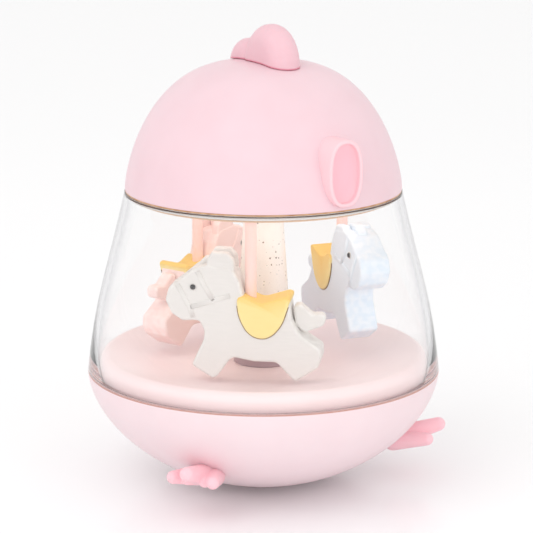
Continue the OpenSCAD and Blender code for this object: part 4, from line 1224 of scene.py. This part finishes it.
@dataclass
class Head:
    """Dome, beak and winding crest."""

    wall: float = 2.4
    hole_r: float = 2.4
    beak_w: float = 13.4
    beak_h: float = 22.6
    beak_y: float = -51.0
    beak_z: float = 118.2
    beak_lip: float = 1.3
    beak_power: float = 2.5
    recess_y: float = -47.25
    back_y: float = -46.3
    crest_gap: float = 0.2

    def build(self) -> None:
        """Builds and dresses the dome, the beak and the crest."""
        dome = loose_object("dome", self.dome())
        carve(dome, self.beak_block(0.6))
        finish_piece(dome, PINK_PLASTIC, Place(Body.HOUSING, "head_plastic", ("head_dome",)))
        make_piece("open_beak", self.beak(), BEAK_PLASTIC, Place(Body.HOUSING, "beak_plastic", ("beak",)))
        crest = loose_object("crest", self.crest_lobes())
        fuse(crest, 0.28, 6)
        clearance = head_outline(HEAD_R + self.crest_gap, HEAD_RISE + self.crest_gap, 0)
        carve(crest, lathe(np.vstack([[[0, RIM_Z]], clearance]), 192, closed=False))
        # painted shade along the gap between the crest and the dome
        self.mark_seam(crest)
        finish_piece(crest, CREST_PLASTIC, Place(Body.WINDER, "crest_plastic", ("crest_knob",)))

    def mark_seam(self, crest: bpy.types.Object) -> None:
        """Marks the crest's lowest edge with the band mask, which paints shade there in deep pink, in the gap
        where the crest meets the dome.

        A point's gap is its height less the dome's own height at its radius, and the mask falls from
        1 to 0 as the gap grows by half a millimetre.

        Args:
            crest: the fused crest, still without its finish.
        """
        points = np.zeros(len(crest.data.vertices) * 3, np.float32)
        crest.data.vertices.foreach_get("co", points)
        points = points.reshape(-1, 3) / MM
        radius = np.hypot(points[:, 0], points[:, 1])
        dome = (1 - (radius / HEAD_R) ** HEAD_RIM_POWER) ** (1 / HEAD_RISE_POWER)
        gap = points[:, 2] - RIM_Z - HEAD_RISE * dome
        values = np.clip(1.3 - (gap - self.crest_gap) / 0.5, 0, 1).astype(np.float32)
        crest.data.attributes.new("trim", "FLOAT", "POINT").data.foreach_set("value", values)

    def dome(self) -> Surface:
        """Returns the dome's closed wall: outer curve up to the stem's hole, inner curve down, eased rim."""
        outer = head_outline(HEAD_R, HEAD_RISE, self.hole_r)
        inner = head_outline(HEAD_R - self.wall, HEAD_RISE - self.wall, self.hole_r)[::-1]
        corners = [tuple(inner[-2]), (HEAD_R - self.wall, RIM_Z), (HEAD_R, RIM_Z), tuple(outer[1])]
        rim = rounded(corners, [0, 0.2, 0.25, 0], 4, closed=False)
        return lathe(np.vstack([outer[1:], inner[:-1], rim[1:-1]]), 320)

    def oval(self, inset: Array, steps: int = 160) -> Array:
        """Points of the beak's oval moved inwards.

        The oval is |x / a| ^ n + |z / b| ^ n = 1, written as x = a cos(t)^(2/n), z = b sin(t)^(2/n)
        with signs, where a and b are half the width and height less the inset.

        Args:
            inset: how far each ring lies inside the edge.
            steps: points in a ring.

        Returns:
            Array of rings x steps x 2, in X and Z.
        """
        angle = TAU * np.arange(steps) / steps
        cos, sin = np.cos(angle), np.sin(angle)
        power = 2 / self.beak_power
        x = np.sign(cos) * np.abs(cos) ** power * (self.beak_w / 2 - inset[:, None])
        z = np.sign(sin) * np.abs(sin) ** power * (self.beak_h / 2 - inset[:, None])
        return np.stack([x, z + self.beak_z], -1)

    def beak_block(self, inset: float) -> Surface:
        """Returns a straight oval block through the dome's wall, which cuts the beak's hole.

        Args:
            inset: how far the block's outline lies inside the beak's, in mm.

        Returns:
            The closed block.
        """
        ring = self.oval(np.array([inset]), 120)[0]
        share = np.array([0, 1, 1, 0])[:, None]
        y = np.array([-34.0, -34.0, -60.0, -60.0])[:, None] + 0 * ring[:, 0]
        x, z = ring[:, 0] * share, self.beak_z + (ring[:, 1] - self.beak_z) * share
        return grid(np.stack([x, y, z], -1), wrap_columns=True)

    def beak(self) -> Surface:
        """Returns the open beak, a cup of oval rings.

        The rings run from the middle of the back out to the dome, along the outer wall to the lip,
        round it in half a circle, and down a recess whose depth is d (1 - s ^ 5), with s the share of
        the way out from its middle. Inside the lip a deeper pink is painted as shade, from nothing at
        the lip to full at the recess floor.
        """
        lip_r = self.beak_lip / 2
        bend = np.linspace(0, math.pi, 13)
        out = np.concatenate([np.zeros(10), lip_r * (1 - np.cos(bend)), np.full(4, self.beak_lip)])
        wall = self.oval(out)
        middle_wall = head_radius(wall[0, :, 1]) - self.wall / 2
        on_dome = -np.sqrt(np.maximum(middle_wall**2 - wall[0, :, 0] ** 2, 0))
        front = self.beak_y + lip_r
        side_y = on_dome + (front - on_dome) * np.linspace(0, 1, 10)[:, None]
        bend_y = np.repeat((front - lip_r * np.sin(bend))[:, None], len(on_dome), 1)
        inner_y = np.repeat((front + np.array([0.2, 0.5, 0.9, 1.3]))[:, None], len(on_dome), 1)
        depth = np.concatenate([side_y, bend_y, inner_y])
        share = np.linspace(1, 0, 26)[1:] ** 0.75
        start = wall[-1] - (0, self.beak_z)
        floor = start[None] * share[:, None, None] + (0, self.beak_z)
        last = depth[-1, 0]
        floor_y = np.repeat((last + (self.recess_y - last) * (1 - share**5))[:, None], len(on_dome), 1)
        back_share = np.linspace(0, 1, 12)[:-1]
        back = (wall[0] - (0, self.beak_z))[None] * back_share[:, None, None] + (0, self.beak_z)
        back_y = self.back_y + (on_dome - self.back_y) * back_share[:, None] ** 2
        flat = np.concatenate([back, wall, floor])
        y = np.concatenate([back_y, depth, floor_y])
        cup = grid(np.stack([flat[..., 0], y, flat[..., 1]], -1), wrap_columns=True)
        # painted shade: the recess turns a deeper pink the deeper it lies behind the lip
        across = np.abs(cup.points[:, 0]) / (self.beak_w / 2 - self.beak_lip + 0.05)
        up = np.abs(cup.points[:, 2] - self.beak_z) / (self.beak_h / 2 - self.beak_lip + 0.05)
        inside = across**self.beak_power + up**self.beak_power <= 1
        return cup.masked("trim", inside * np.clip((cup.points[:, 1] + 50.4) / 3.2, 0, 1))

    def crest_lobes(self) -> Surface:
        """Returns the two lobes of the crest, each a half ellipse of overlapping fingers.

        Along a lobe the middle of the finger follows y = c - a cos t, z = h + b sin t, and every
        finger runs on down into the dome, so that the fused lobes close with a soft crease between.
        """
        top = RIM_Z + HEAD_RISE
        turn = np.radians(np.linspace(0, 180, 15))
        lobes = ((-5.6, 6.4, top - 1.6, 8.6, 6.1), (8.6, 3.6, top - 3.0, 4.6, 5.2))
        fingers = []
        for middle, reach, base, rise, radius in lobes:
            for y, z in zip(middle - reach * np.cos(turn), base + rise * np.sin(turn)):
                root, tip = np.array([0, y * 0.96, base - 6.0]), np.array([0, y, z])
                fingers.append(finger(root, tip, radius, radius, 40))
        return combine(*fingers)


# ---------------------------------------------------------------- feet


@dataclass
class Feet:
    """The two three-toed feet, turned outwards from the front."""

    turn_deg: float = 57.0
    root_x: float = 46.5
    middle_end: tuple[float, float] = (62.9, 18.8)
    side_end: tuple[float, float, float] = (58.3, 7.4, 15.4)

    def build(self) -> None:
        """Builds and dresses both feet."""
        for name, node, side in (("toes_left", "left_foot", 1), ("toes_right", "right_foot", -1)):
            foot = loose_object(name, self.toes(side))
            fuse(foot, 0.28, 9)
            carve(foot, self.bowl_block())
            finish_piece(foot, FOOT_PLASTIC, Place(Body.HOUSING, "foot_plastic", (node,)))

    def toes(self, side: int) -> Surface:
        """Returns one foot's toes, three tapering fingers and two thin webs between them.

        The fingers are laid out along +X, then turned by -90 +- 57 degrees about the axis.

        Args:
            side: 1 for the foot on the +X side, -1 for the other.

        Returns:
            The overlapping fingers, to be fused.
        """
        root, (end_x, end_z), (far_x, far_y, far_z) = self.root_x, self.middle_end, self.side_end
        toes = [((root, 0, 13.8), (end_x, 0, end_z), 4.0, 2.5)]
        for way in (-1, 1):
            toes.append(((root, way * 2.4, 13.4), (far_x, way * far_y, far_z), 3.7, 2.3))
            toes.append(((root, way * 1.2, 12.8), (root + 9.5, way * 3.2, 14.6), 3.0, 2.1))
        fingers = [finger(np.array(start), np.array(end), *radii) for start, end, *radii in toes]
        angle = math.radians(-90 + side * self.turn_deg)
        turned = np.eye(4)
        turned[:2, :2] = [[math.cos(angle), -math.sin(angle)], [math.sin(angle), math.cos(angle)]]
        return combine(*fingers).moved(turned)

    def bowl_block(self) -> Surface:
        """Returns the bowl's outer solid, which cuts the feet's backs."""
        share = 1 - np.cos(np.linspace(0, math.pi / 2, 60))
        low = BOTTOM_Z + (SEAM_Z - BOTTOM_Z) * share
        outer = np.stack([bowl_radius(low, 0, BOWL_FOOT_R, SEAM_R), low], -1)
        return lathe(np.vstack([[[0, BOTTOM_Z]], outer, [[0, SEAM_Z]]]), 256, closed=False)


# ---------------------------------------------------------------- carousel


@dataclass
class Carousel:
    """The turning plate, its three sockets and the three poles."""

    plate_r: float = 44.5
    plate_low: float = 102.1
    plate_high: float = 104.6
    hub_r: float = 3.2
    socket_low: float = 99.9
    socket_r: float = 3.1
    pole_r: float = 2.0
    pole_top_z: float = 102.1
    pole_foot: float = 15.5
    orbit: float = 30.4

    def build(self, horses: "list[Horse]") -> None:
        """Builds and dresses the plate, the sockets and a pole for each horse.

        Args:
            horses: the horses that hang from the plate.
        """
        body = Body.CAROUSEL
        place = Place(body, "plate_plastic", ("rotor_plate",))
        make_piece("turning_plate", self.plate(), PLATE_PLASTIC, place)
        sockets = combine(*(self.socket().moved(placed(h.angle_deg, self.orbit, 0)) for h in horses))
        make_piece("sockets", sockets, SOCKET_PLASTIC, Place(body, "socket_plastic", ("pole_sockets",)))
        for horse in horses:
            pole = self.pole(horse.hoof_z + self.pole_foot).moved(placed(horse.angle_deg, self.orbit, 0))
            place = Place(body, "pole_plastic", (horse.colour + "_pole",))
            make_piece(horse.colour + "_rod", pole, POLE_PLASTIC, place)

    def plate(self) -> Surface:
        """Returns the plate, a flat ring with eased edges and the mask "trim" on its lowest edge."""
        low, high, hub, rim = self.plate_low, self.plate_high, self.hub_r, self.plate_r
        corners = [(hub, low), (rim, low), (rim, low + 0.55)]
        corners += [(rim - 0.15, low + 0.7), (rim - 0.15, high), (hub, high)]
        outline = rounded(corners, [0.2, 0.25, 0.1, 0.1, 0.5, 0.2], 5)
        plate = lathe(outline, 288)
        radius, height = np.hypot(plate.points[:, 0], plate.points[:, 1]), plate.points[:, 2]
        return plate.masked("trim", (radius > rim - 1.5) & (height < low + 0.62))

    def socket(self) -> Surface:
        """Returns a pole's socket, a short bell with a bead at its mouth."""
        low, high, rim = self.socket_low, self.plate_low, self.socket_r
        corners = [(self.pole_r, high), (self.pole_r, low), (rim - 0.35, low), (rim - 0.15, low + 0.55)]
        corners += [(rim - 0.4, low + 0.9), (rim, high - 0.4), (rim, high)]
        return lathe(rounded(corners, [0, 0.1, 0.2, 0.2, 0.2, 0.3, 0], 4), 64)

    def pole(self, foot_z: float) -> Surface:
        """Returns a pole from the horse's back up into the plate."""
        corners = [(0, foot_z), (self.pole_r, foot_z), (self.pole_r, self.pole_top_z), (0, self.pole_top_z)]
        return lathe(rounded(corners, [0, 0.3, 0.3, 0], 4, closed=False), 64, closed=False)


# ---------------------------------------------------------------- horses

# Corners of the boards in a horse's own frame: X forward, Z up from the hooves
BODY = [
    (28.4, 27.0), (26.4, 22.4), (22.7, 19.9), (16.8, 20.2), (15.2, 16.6), (15.4, 13.4), (19.6, 4.2),
    (12.2, -0.6), (10.8, 0.6), (5.8, 7.6), (-1.8, 6.2), (-9.5, 6.2), (-14.6, 0.6), (-15.9, -0.6),
    (-23.6, 4.8), (-24.6, 8.0), (-24.4, 11.2), (-17.6, 15.8), (-14.6, 21.0), (-13.6, 27.6), (-12.6, 28.2),
    (-4.0, 25.2), (1.6, 28.2), (3.2, 34.0), (5.6, 38.6),
    (14.0, 39.8), (18.8, 38.2), (23.4, 34.2), (27.2, 31.4),
]
BODY_RADII = [
    2.2, 2.4, 1.8, 2.2, 2.0, 2.0, 1.2,
    1.2, 1.4, 2.6, 3.0, 3.0, 1.4, 1.2,
    1.4, 1.6, 1.8, 3.2, 3.2, 0.9, 0.9,
    5.0, 2.0, 3.0, 2.6,
    3.0, 2.4, 3.0, 2.4,
]
EAR = [(4.6, 36.0), (5.2, 40.8), (7.2, 43.2), (12.6, 43.4), (14.2, 40.6), (14.4, 37.0)]
FORELOCK = [(9.0, 36.0), (9.4, 41.4), (15.4, 41.6), (18.2, 38.8), (17.2, 35.0)]
TAIL = [
    (-14.8, 25.8), (-17.2, 26.2), (-21.2, 22.8), (-25.9, 23.0),
    (-25.2, 18.9), (-18.4, 16.2), (-15.4, 19.0),
]
SADDLE_TOP = [(-14.2, 28.9), (-12.6, 29.4), (-4.0, 26.6), (1.8, 29.4), (3.6, 28.6)]
SADDLE_FLAP = [
    (4.0, 27.2), (3.4, 22.0), (0.6, 16.4), (-3.4, 14.2),
    (-7.6, 15.0), (-11.4, 19.6), (-14.0, 27.6),
]


def anticlockwise(outline: Array) -> Array:
    """Returns the outline turned so that its signed area, half the sum of x1 z2 - x2 z1, is positive."""
    ahead = np.roll(outline, -1, 0)
    area = (outline[:, 0] * ahead[:, 1] - ahead[:, 0] * outline[:, 1]).sum() / 2
    return outline if area > 0 else outline[::-1]


def sawn(
    corners: Corners, radii: float | list[float], edge: float, thickness: float, middle: float = 0
) -> Surface:
    """Returns a sawn board: the rounded outline, evenly stepped, with eased edges."""
    outline = anticlockwise(evenly(rounded(corners, radii), 0.4))
    return board(outline, thickness, edge, middle)


@dataclass
class Horse:
    """One painted wooden horse with its tack, saddle, tail and eyes."""

    colour: str
    angle_deg: float
    hoof_z: float
    paint: PaintedWood
    ear_lift: float = 0.0
    thickness: float = 11.4
    edge: float = 0.9
    orbit: float = 30.4
    strap_w: float = 1.7
    strap_t: float = 0.25
    eye: tuple[float, float] = (18.9, 31.9)
    eye_r: float = 0.95

    def build(self) -> None:
        """Builds and dresses the horse's pieces."""
        c, frame_of = self.colour, placed(self.angle_deg, self.orbit, self.hoof_z)
        pieces = (
            ("_pony", combine(self.body(), self.tack()), self.paint, c + "_wood", "_horse"),
            ("_brush", self.tail(), self.paint, c + "_wood", "_tail"),
            ("_seat", self.saddle(), SADDLE_PAINT, "saddle_yellow", "_saddle"),
            ("_beads", self.beads(), EYE_BLACK, "bead_black", "_eyes"),
        )
        for ending, surface, finish, slot, node in pieces:
            make_piece(c + ending, surface.moved(frame_of), finish, Place(Body.CAROUSEL, slot, (c + node,)))
        piping, rings = self.piping().moved(frame_of), self.rings().moved(frame_of)
        # painted shadow: a dark cord along each flap's edge
        make_piece(c + "_piping", piping, FLAP_SHADOW_BROWN, Place(Body.CAROUSEL, "saddle_yellow"))
        make_piece(c + "_eye_rings", rings, EYE_RING, Place(Body.CAROUSEL, "bead_black"))

    def body(self) -> Surface:
        """Returns the body board with both ears and the forelock, each a board of its own."""
        half = self.thickness / 2
        ear = [(x, z + self.ear_lift) for x, z in EAR]
        ears = [sawn(ear, 1.3, self.edge, 3.3, way * (half - 1.8)) for way in (-1, 1)]
        trunk = sawn(BODY, BODY_RADII, self.edge, self.thickness)
        return combine(trunk, *ears, sawn(FORELOCK, 1.4, 0.8, 3.8))

    def strap(self, path: Corners, way: int) -> Surface:
        """Returns a flat strap on one side face.

        The section is a rounded strip, as wide as the strap and proud by its thickness; it is carried
        along the path, a smooth line through the corners.

        Args:
            path: corners of the strap's middle line in X and Z.
            way: -1 for the inner face and 1 for the outer one.

        Returns:
            The closed strap.
        """
        line = rounded(path, 1.6, 5, closed=False)
        line = np.vstack([line, [path[-1]]]) if np.linalg.norm(line[-1] - path[-1]) > 1e-3 else line
        step = np.gradient(line, axis=0)
        step /= np.linalg.norm(step, axis=1)[:, None]
        zero, one = np.zeros(len(line)), np.ones(len(line))
        points = np.stack([line[:, 0], one * way * (self.thickness / 2), line[:, 1]], -1)
        up = np.stack([zero, one * way, zero], -1)
        along = np.stack([step[:, 0], zero, step[:, 1]], -1)
        side = np.cross(up, along)
        half, proud = self.strap_w / 2, self.strap_t
        section = rounded([(-half, -0.3), (half, -0.3), (half, proud), (-half, proud)], [0, 0, 0.22, 0.22], 3)
        return carried(points, side, up, section)

    def tack(self) -> Surface:
        """Returns the bridle: noseband, browband and cheek strap on each face."""
        bands = []
        for way in (-1, 1):
            bands.append(self.strap([(24.2, 32.6), (20.0, 24.6), (18.9, 21.4)], way))
            bands.append(self.strap([(17.3, 37.4), (15.0, 32.4), (12.0, 27.4)], way))
            bands.append(self.strap([(19.8, 24.8), (12.0, 27.4), (6.4, 29.2)], way))
        return combine(*bands)

    def tail(self) -> Surface:
        """Returns the tail board."""
        return sawn(TAIL, 1.7, 0.9, 5.0)

    def saddle_outline(self, inset: float = 0) -> Array:
        """Returns the saddle's side outline, anticlockwise, moved inwards by the inset.

        Below the back it is the mean of 15 neighbouring points, which makes the flap round.

        Args:
            inset: how far the outline is moved inwards, in mm.

        Returns:
            The points in X and Z.
        """
        corners = SADDLE_TOP + SADDLE_FLAP
        radii = [0.8, 1.0, 5.0, 1.2, 0.8, 0.8, 3.0, 2.6, 2.2, 2.2, 3.0, 0.8]
        outline = anticlockwise(evenly(rounded(corners, radii), 0.35))
        soft = np.mean([np.roll(outline, k, 0) for k in range(-7, 8)], axis=0)
        low = np.clip((25.5 - outline[:, 1:]) / 3, 0, 1)
        outline = outline * (1 - low) + soft * low
        along = np.roll(outline, -1, 0) - np.roll(outline, 1, 0)
        along /= np.linalg.norm(along, axis=1)[:, None]
        return outline - inset * np.stack([along[:, 1], -along[:, 0]], -1)

    def saddle(self) -> Surface:
        """Returns the saddle, a block over the back 0.7 proud of each face, with a mask on top for its
        painted shade.
        """
        block = board(self.saddle_outline(), self.thickness + 1.4, 0.6)
        flat = block.flat_or_zero()
        crest_line = np.interp(flat[:, 0], [-14.2, -12.6, -4.0, 1.8, 3.6], [28.9, 29.4, 26.6, 29.4, 28.6])
        # painted shade: the mask is 1 along the saddle's top and fades out about 1.5 mm below it
        return block.masked("seat", np.clip(1.4 - (crest_line - flat[:, 1]) / 1.1, 0, 1))

    def piping(self) -> Surface:
        """Returns the painted shadow round each flap: a thin dark cord of radius 0.2 along its edge, laid
        where the proud flap shades the body.
        """
        outline = self.saddle_outline(-0.05)
        line = outline[outline[:, 1] < 26.0]
        start = np.argmax(np.linalg.norm(line - np.roll(line, 1, 0), axis=1))
        line = np.roll(line, -start, 0)
        step = np.gradient(line, axis=0)
        step /= np.linalg.norm(step, axis=1)[:, None]
        zero, one = np.zeros(len(line)), np.ones(len(line))
        angle = TAU * np.arange(12) / 12
        section = 0.2 * np.stack([np.cos(angle), np.sin(angle)], -1)
        cords = []
        for way in (-1, 1):
            points = np.stack([line[:, 0], one * way * (self.thickness / 2 + 0.12), line[:, 1]], -1)
            up = np.stack([zero, one * way, zero], -1)
            side = np.cross(up, np.stack([step[:, 0], zero, step[:, 1]], -1))
            cords.append(carried(points, side, up, section))
        return combine(*cords)

    def on_faces(self, outline: Array) -> Surface:
        """Turns an outline of radius and height about the eye's middle on both faces.

        Height runs outwards from each face, so the turned solid is laid over by a quarter turn about X.

        Args:
            outline: radius and height over the face, in mm.

        Returns:
            Both turned solids.
        """
        solid = lathe(outline, 40, closed=False)
        pair = []
        for way in (-1, 1):
            laid = np.eye(4)
            laid[:3, :3] = [[1, 0, 0], [0, 0, way], [0, -way, 0]]
            laid[:3, 3] = (self.eye[0], way * self.thickness / 2, self.eye[1])
            pair.append(solid.moved(laid))
        return combine(*pair)

    def beads(self) -> Surface:
        """Returns the eyes, domed beads with h = 0.75 cos a and r = 0.95 sin a over a short foot."""
        angle = np.radians(np.linspace(90, 0, 12))
        dome = np.stack([self.eye_r * np.sin(angle), 0.1 + 0.75 * np.cos(angle)], -1)
        return self.on_faces(np.vstack([[[0, -0.6], [self.eye_r, -0.6]], dome]))

    def rings(self) -> Surface:
        """Returns the thin ring round each eye."""
        r = self.eye_r
        return self.on_faces(np.array([[0, -0.3], [r + 0.3, -0.3], [r + 0.3, 0.1], [r + 0.2, 0.2], [0, 0.2]]))


# ---------------------------------------------------------------- movement


@dataclass
class Movement:
    """The wind-up movement and the screws and weights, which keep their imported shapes."""

    finishes: dict[str, Finish] = field(
        default_factory=lambda: {
            "ballast_iron": IRON,
            "screw_steel": STEEL,
            "bearing_brass": BRASS,
            "cast_zinc": ZINC,
            "spring_steel": SPRING_STEEL,
            "movement_brass": BRASS,
            "plate_plastic": PLATE_PLASTIC,
        }
    )

    def dress(self) -> None:
        """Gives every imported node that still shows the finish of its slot."""
        slots = {part["node"]: part["material_slot"] for part in frame["record"]["subparts"]}
        for name, node in sorted(frame["nodes"].items()):
            if node.hide_render:
                continue
            finish = self.finishes[slots[name]]
            node.data.materials.clear()
            node.data.materials.append(finish.material())
            log.info("%s: packed shape in %s", name, finish.name)


# ---------------------------------------------------------------- studio


@dataclass
class Studio:
    """Pale floor, soft white light and the camera."""

    azimuth_deg: float = -33.0
    elevation_deg: float = 13.1
    distance: float = 0.8
    lens: float = 152.7
    aim_right: float = 1.06
    aim_z: float = 76.9
    sky: float = 0.95
    lamps: tuple[tuple[str, float, float, float, float], ...] = (
        ("key", -48, 52, 3.4, 1.1),
        ("fill", 38, 8, 5.6, 1.2),
        ("low", -28, 6, 4.2, 1.2),
    )
    inner_watts: float = 0.012
    floor_r: float = 7000.0
    under: float = 0.02

    def build(self) -> None:
        """Sets up the floor, the light and the camera."""
        self.lay_floor()
        self.light()
        self.aim_camera()

    def direction(self, azimuth_deg: float, elevation_deg: float) -> Array:
        """Returns the unit vector (sin a cos e, -cos a cos e, sin e) from the object towards a place."""
        a, e = math.radians(azimuth_deg), math.radians(elevation_deg)
        return np.array([math.sin(a) * math.cos(e), -math.cos(a) * math.cos(e), math.sin(e)])

    def look(self, thing: bpy.types.Object, place: Array, target: Array) -> None:
        """Puts a camera or light in its place, turned so that its -Z looks at the target.

        Args:
            thing: the camera or light.
            place: where it stands, in metres.
            target: the point it looks at, in metres.
        """
        back = (place - target) / np.linalg.norm(place - target)
        right = np.cross([0, 0, 1.0], back)
        right /= np.linalg.norm(right)
        turned = np.eye(4)
        turned[:3, 0], turned[:3, 1], turned[:3, 2], turned[:3, 3] = right, np.cross(back, right), back, place
        thing.matrix_world = [tuple(float(v) for v in column) for column in turned.T]

    def lay_floor(self) -> None:
        """Lays a wide glossy white floor just under the sole."""
        disc = lathe(np.array([[self.floor_r, -self.under], [0, -self.under]]), 160, closed=False)
        floor = loose_object("studio_floor", disc)
        floor.data.materials.append(STUDIO_WHITE.material())

    def light(self) -> None:
        """Hangs large soft lamps and fills the rest with white.

        A lamp is its name, its azimuth from the camera, its elevation, its power and its size in metres.
        A faint one under the plate opens the shade that the head throws over the horses.
        """
        world = bpy.data.worlds.new("studio")
        bpy.context.scene.world = world
        world.use_nodes = True
        sky = world.node_tree.nodes["Background"]
        sky.inputs["Color"].default_value = (1.0, 0.995, 0.99, 1.0)
        sky.inputs["Strength"].default_value = self.sky
        for name, turn, height, watts, size in self.lamps:
            lamp = bpy.data.lights.new(name, "AREA")
            lamp.shape, lamp.energy, lamp.size = "DISK", watts, size
            hung = bpy.data.objects.new(name, lamp)
            bpy.context.scene.collection.objects.link(hung)
            hung.visible_glossy = hung.visible_transmission = False
            self.look(hung, self.direction(self.azimuth_deg + turn, height) * 1.6, np.array([0, 0, 0.07]))
        glow = bpy.data.lights.new("inner", "AREA")
        glow.shape, glow.energy, glow.size = "DISK", self.inner_watts, 0.08
        inner = bpy.data.objects.new("inner", glow)
        bpy.context.scene.collection.objects.link(inner)
        inner.visible_camera = inner.visible_glossy = inner.visible_transmission = False
        self.look(inner, np.array([0, 0.00001, 0.1015]), np.array([0, 0, 0.05]))

    def aim_camera(self) -> None:
        """Creates the camera and aims it at a point beside the axis."""
        out = self.direction(self.azimuth_deg, self.elevation_deg)
        right = np.cross([0, 0, 1.0], out)
        right /= np.linalg.norm(right)
        target = right * self.aim_right * MM + np.array([0, 0, self.aim_z * MM])
        lens = bpy.data.cameras.new("camera")
        lens.lens, lens.sensor_width, lens.clip_start, lens.clip_end = self.lens, 36.0, 0.02, 60.0
        camera = bpy.data.objects.new("camera", lens)
        bpy.context.scene.collection.objects.link(camera)
        self.look(camera, target + out * self.distance, target)
        bpy.context.scene.camera = camera
        bpy.context.scene.view_settings.view_transform = "Standard"


def main() -> None:
    """Builds every sub-assembly in order, then the studio."""
    logging.basicConfig(level=logging.INFO, format="%(message)s")
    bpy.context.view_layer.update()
    horses = [
        Horse("white", -41.0, FLOOR_Z + 3.3, WHITE_PAINT, ear_lift=0.8),
        Horse("blue", 79.0, FLOOR_Z + 8.7, BLUE_PAINT, ear_lift=-2.4),
        Horse("pink", -161.0, FLOOR_Z + 4.8, ROSE_PAINT),
    ]
    LowerBody().build()
    ClearWall().build()
    Head().build()
    Feet().build()
    Carousel().build(horses)
    for horse in horses:
        horse.build()
    Movement().dress()
    Studio().build()


if __name__ == "__main__":
    main()
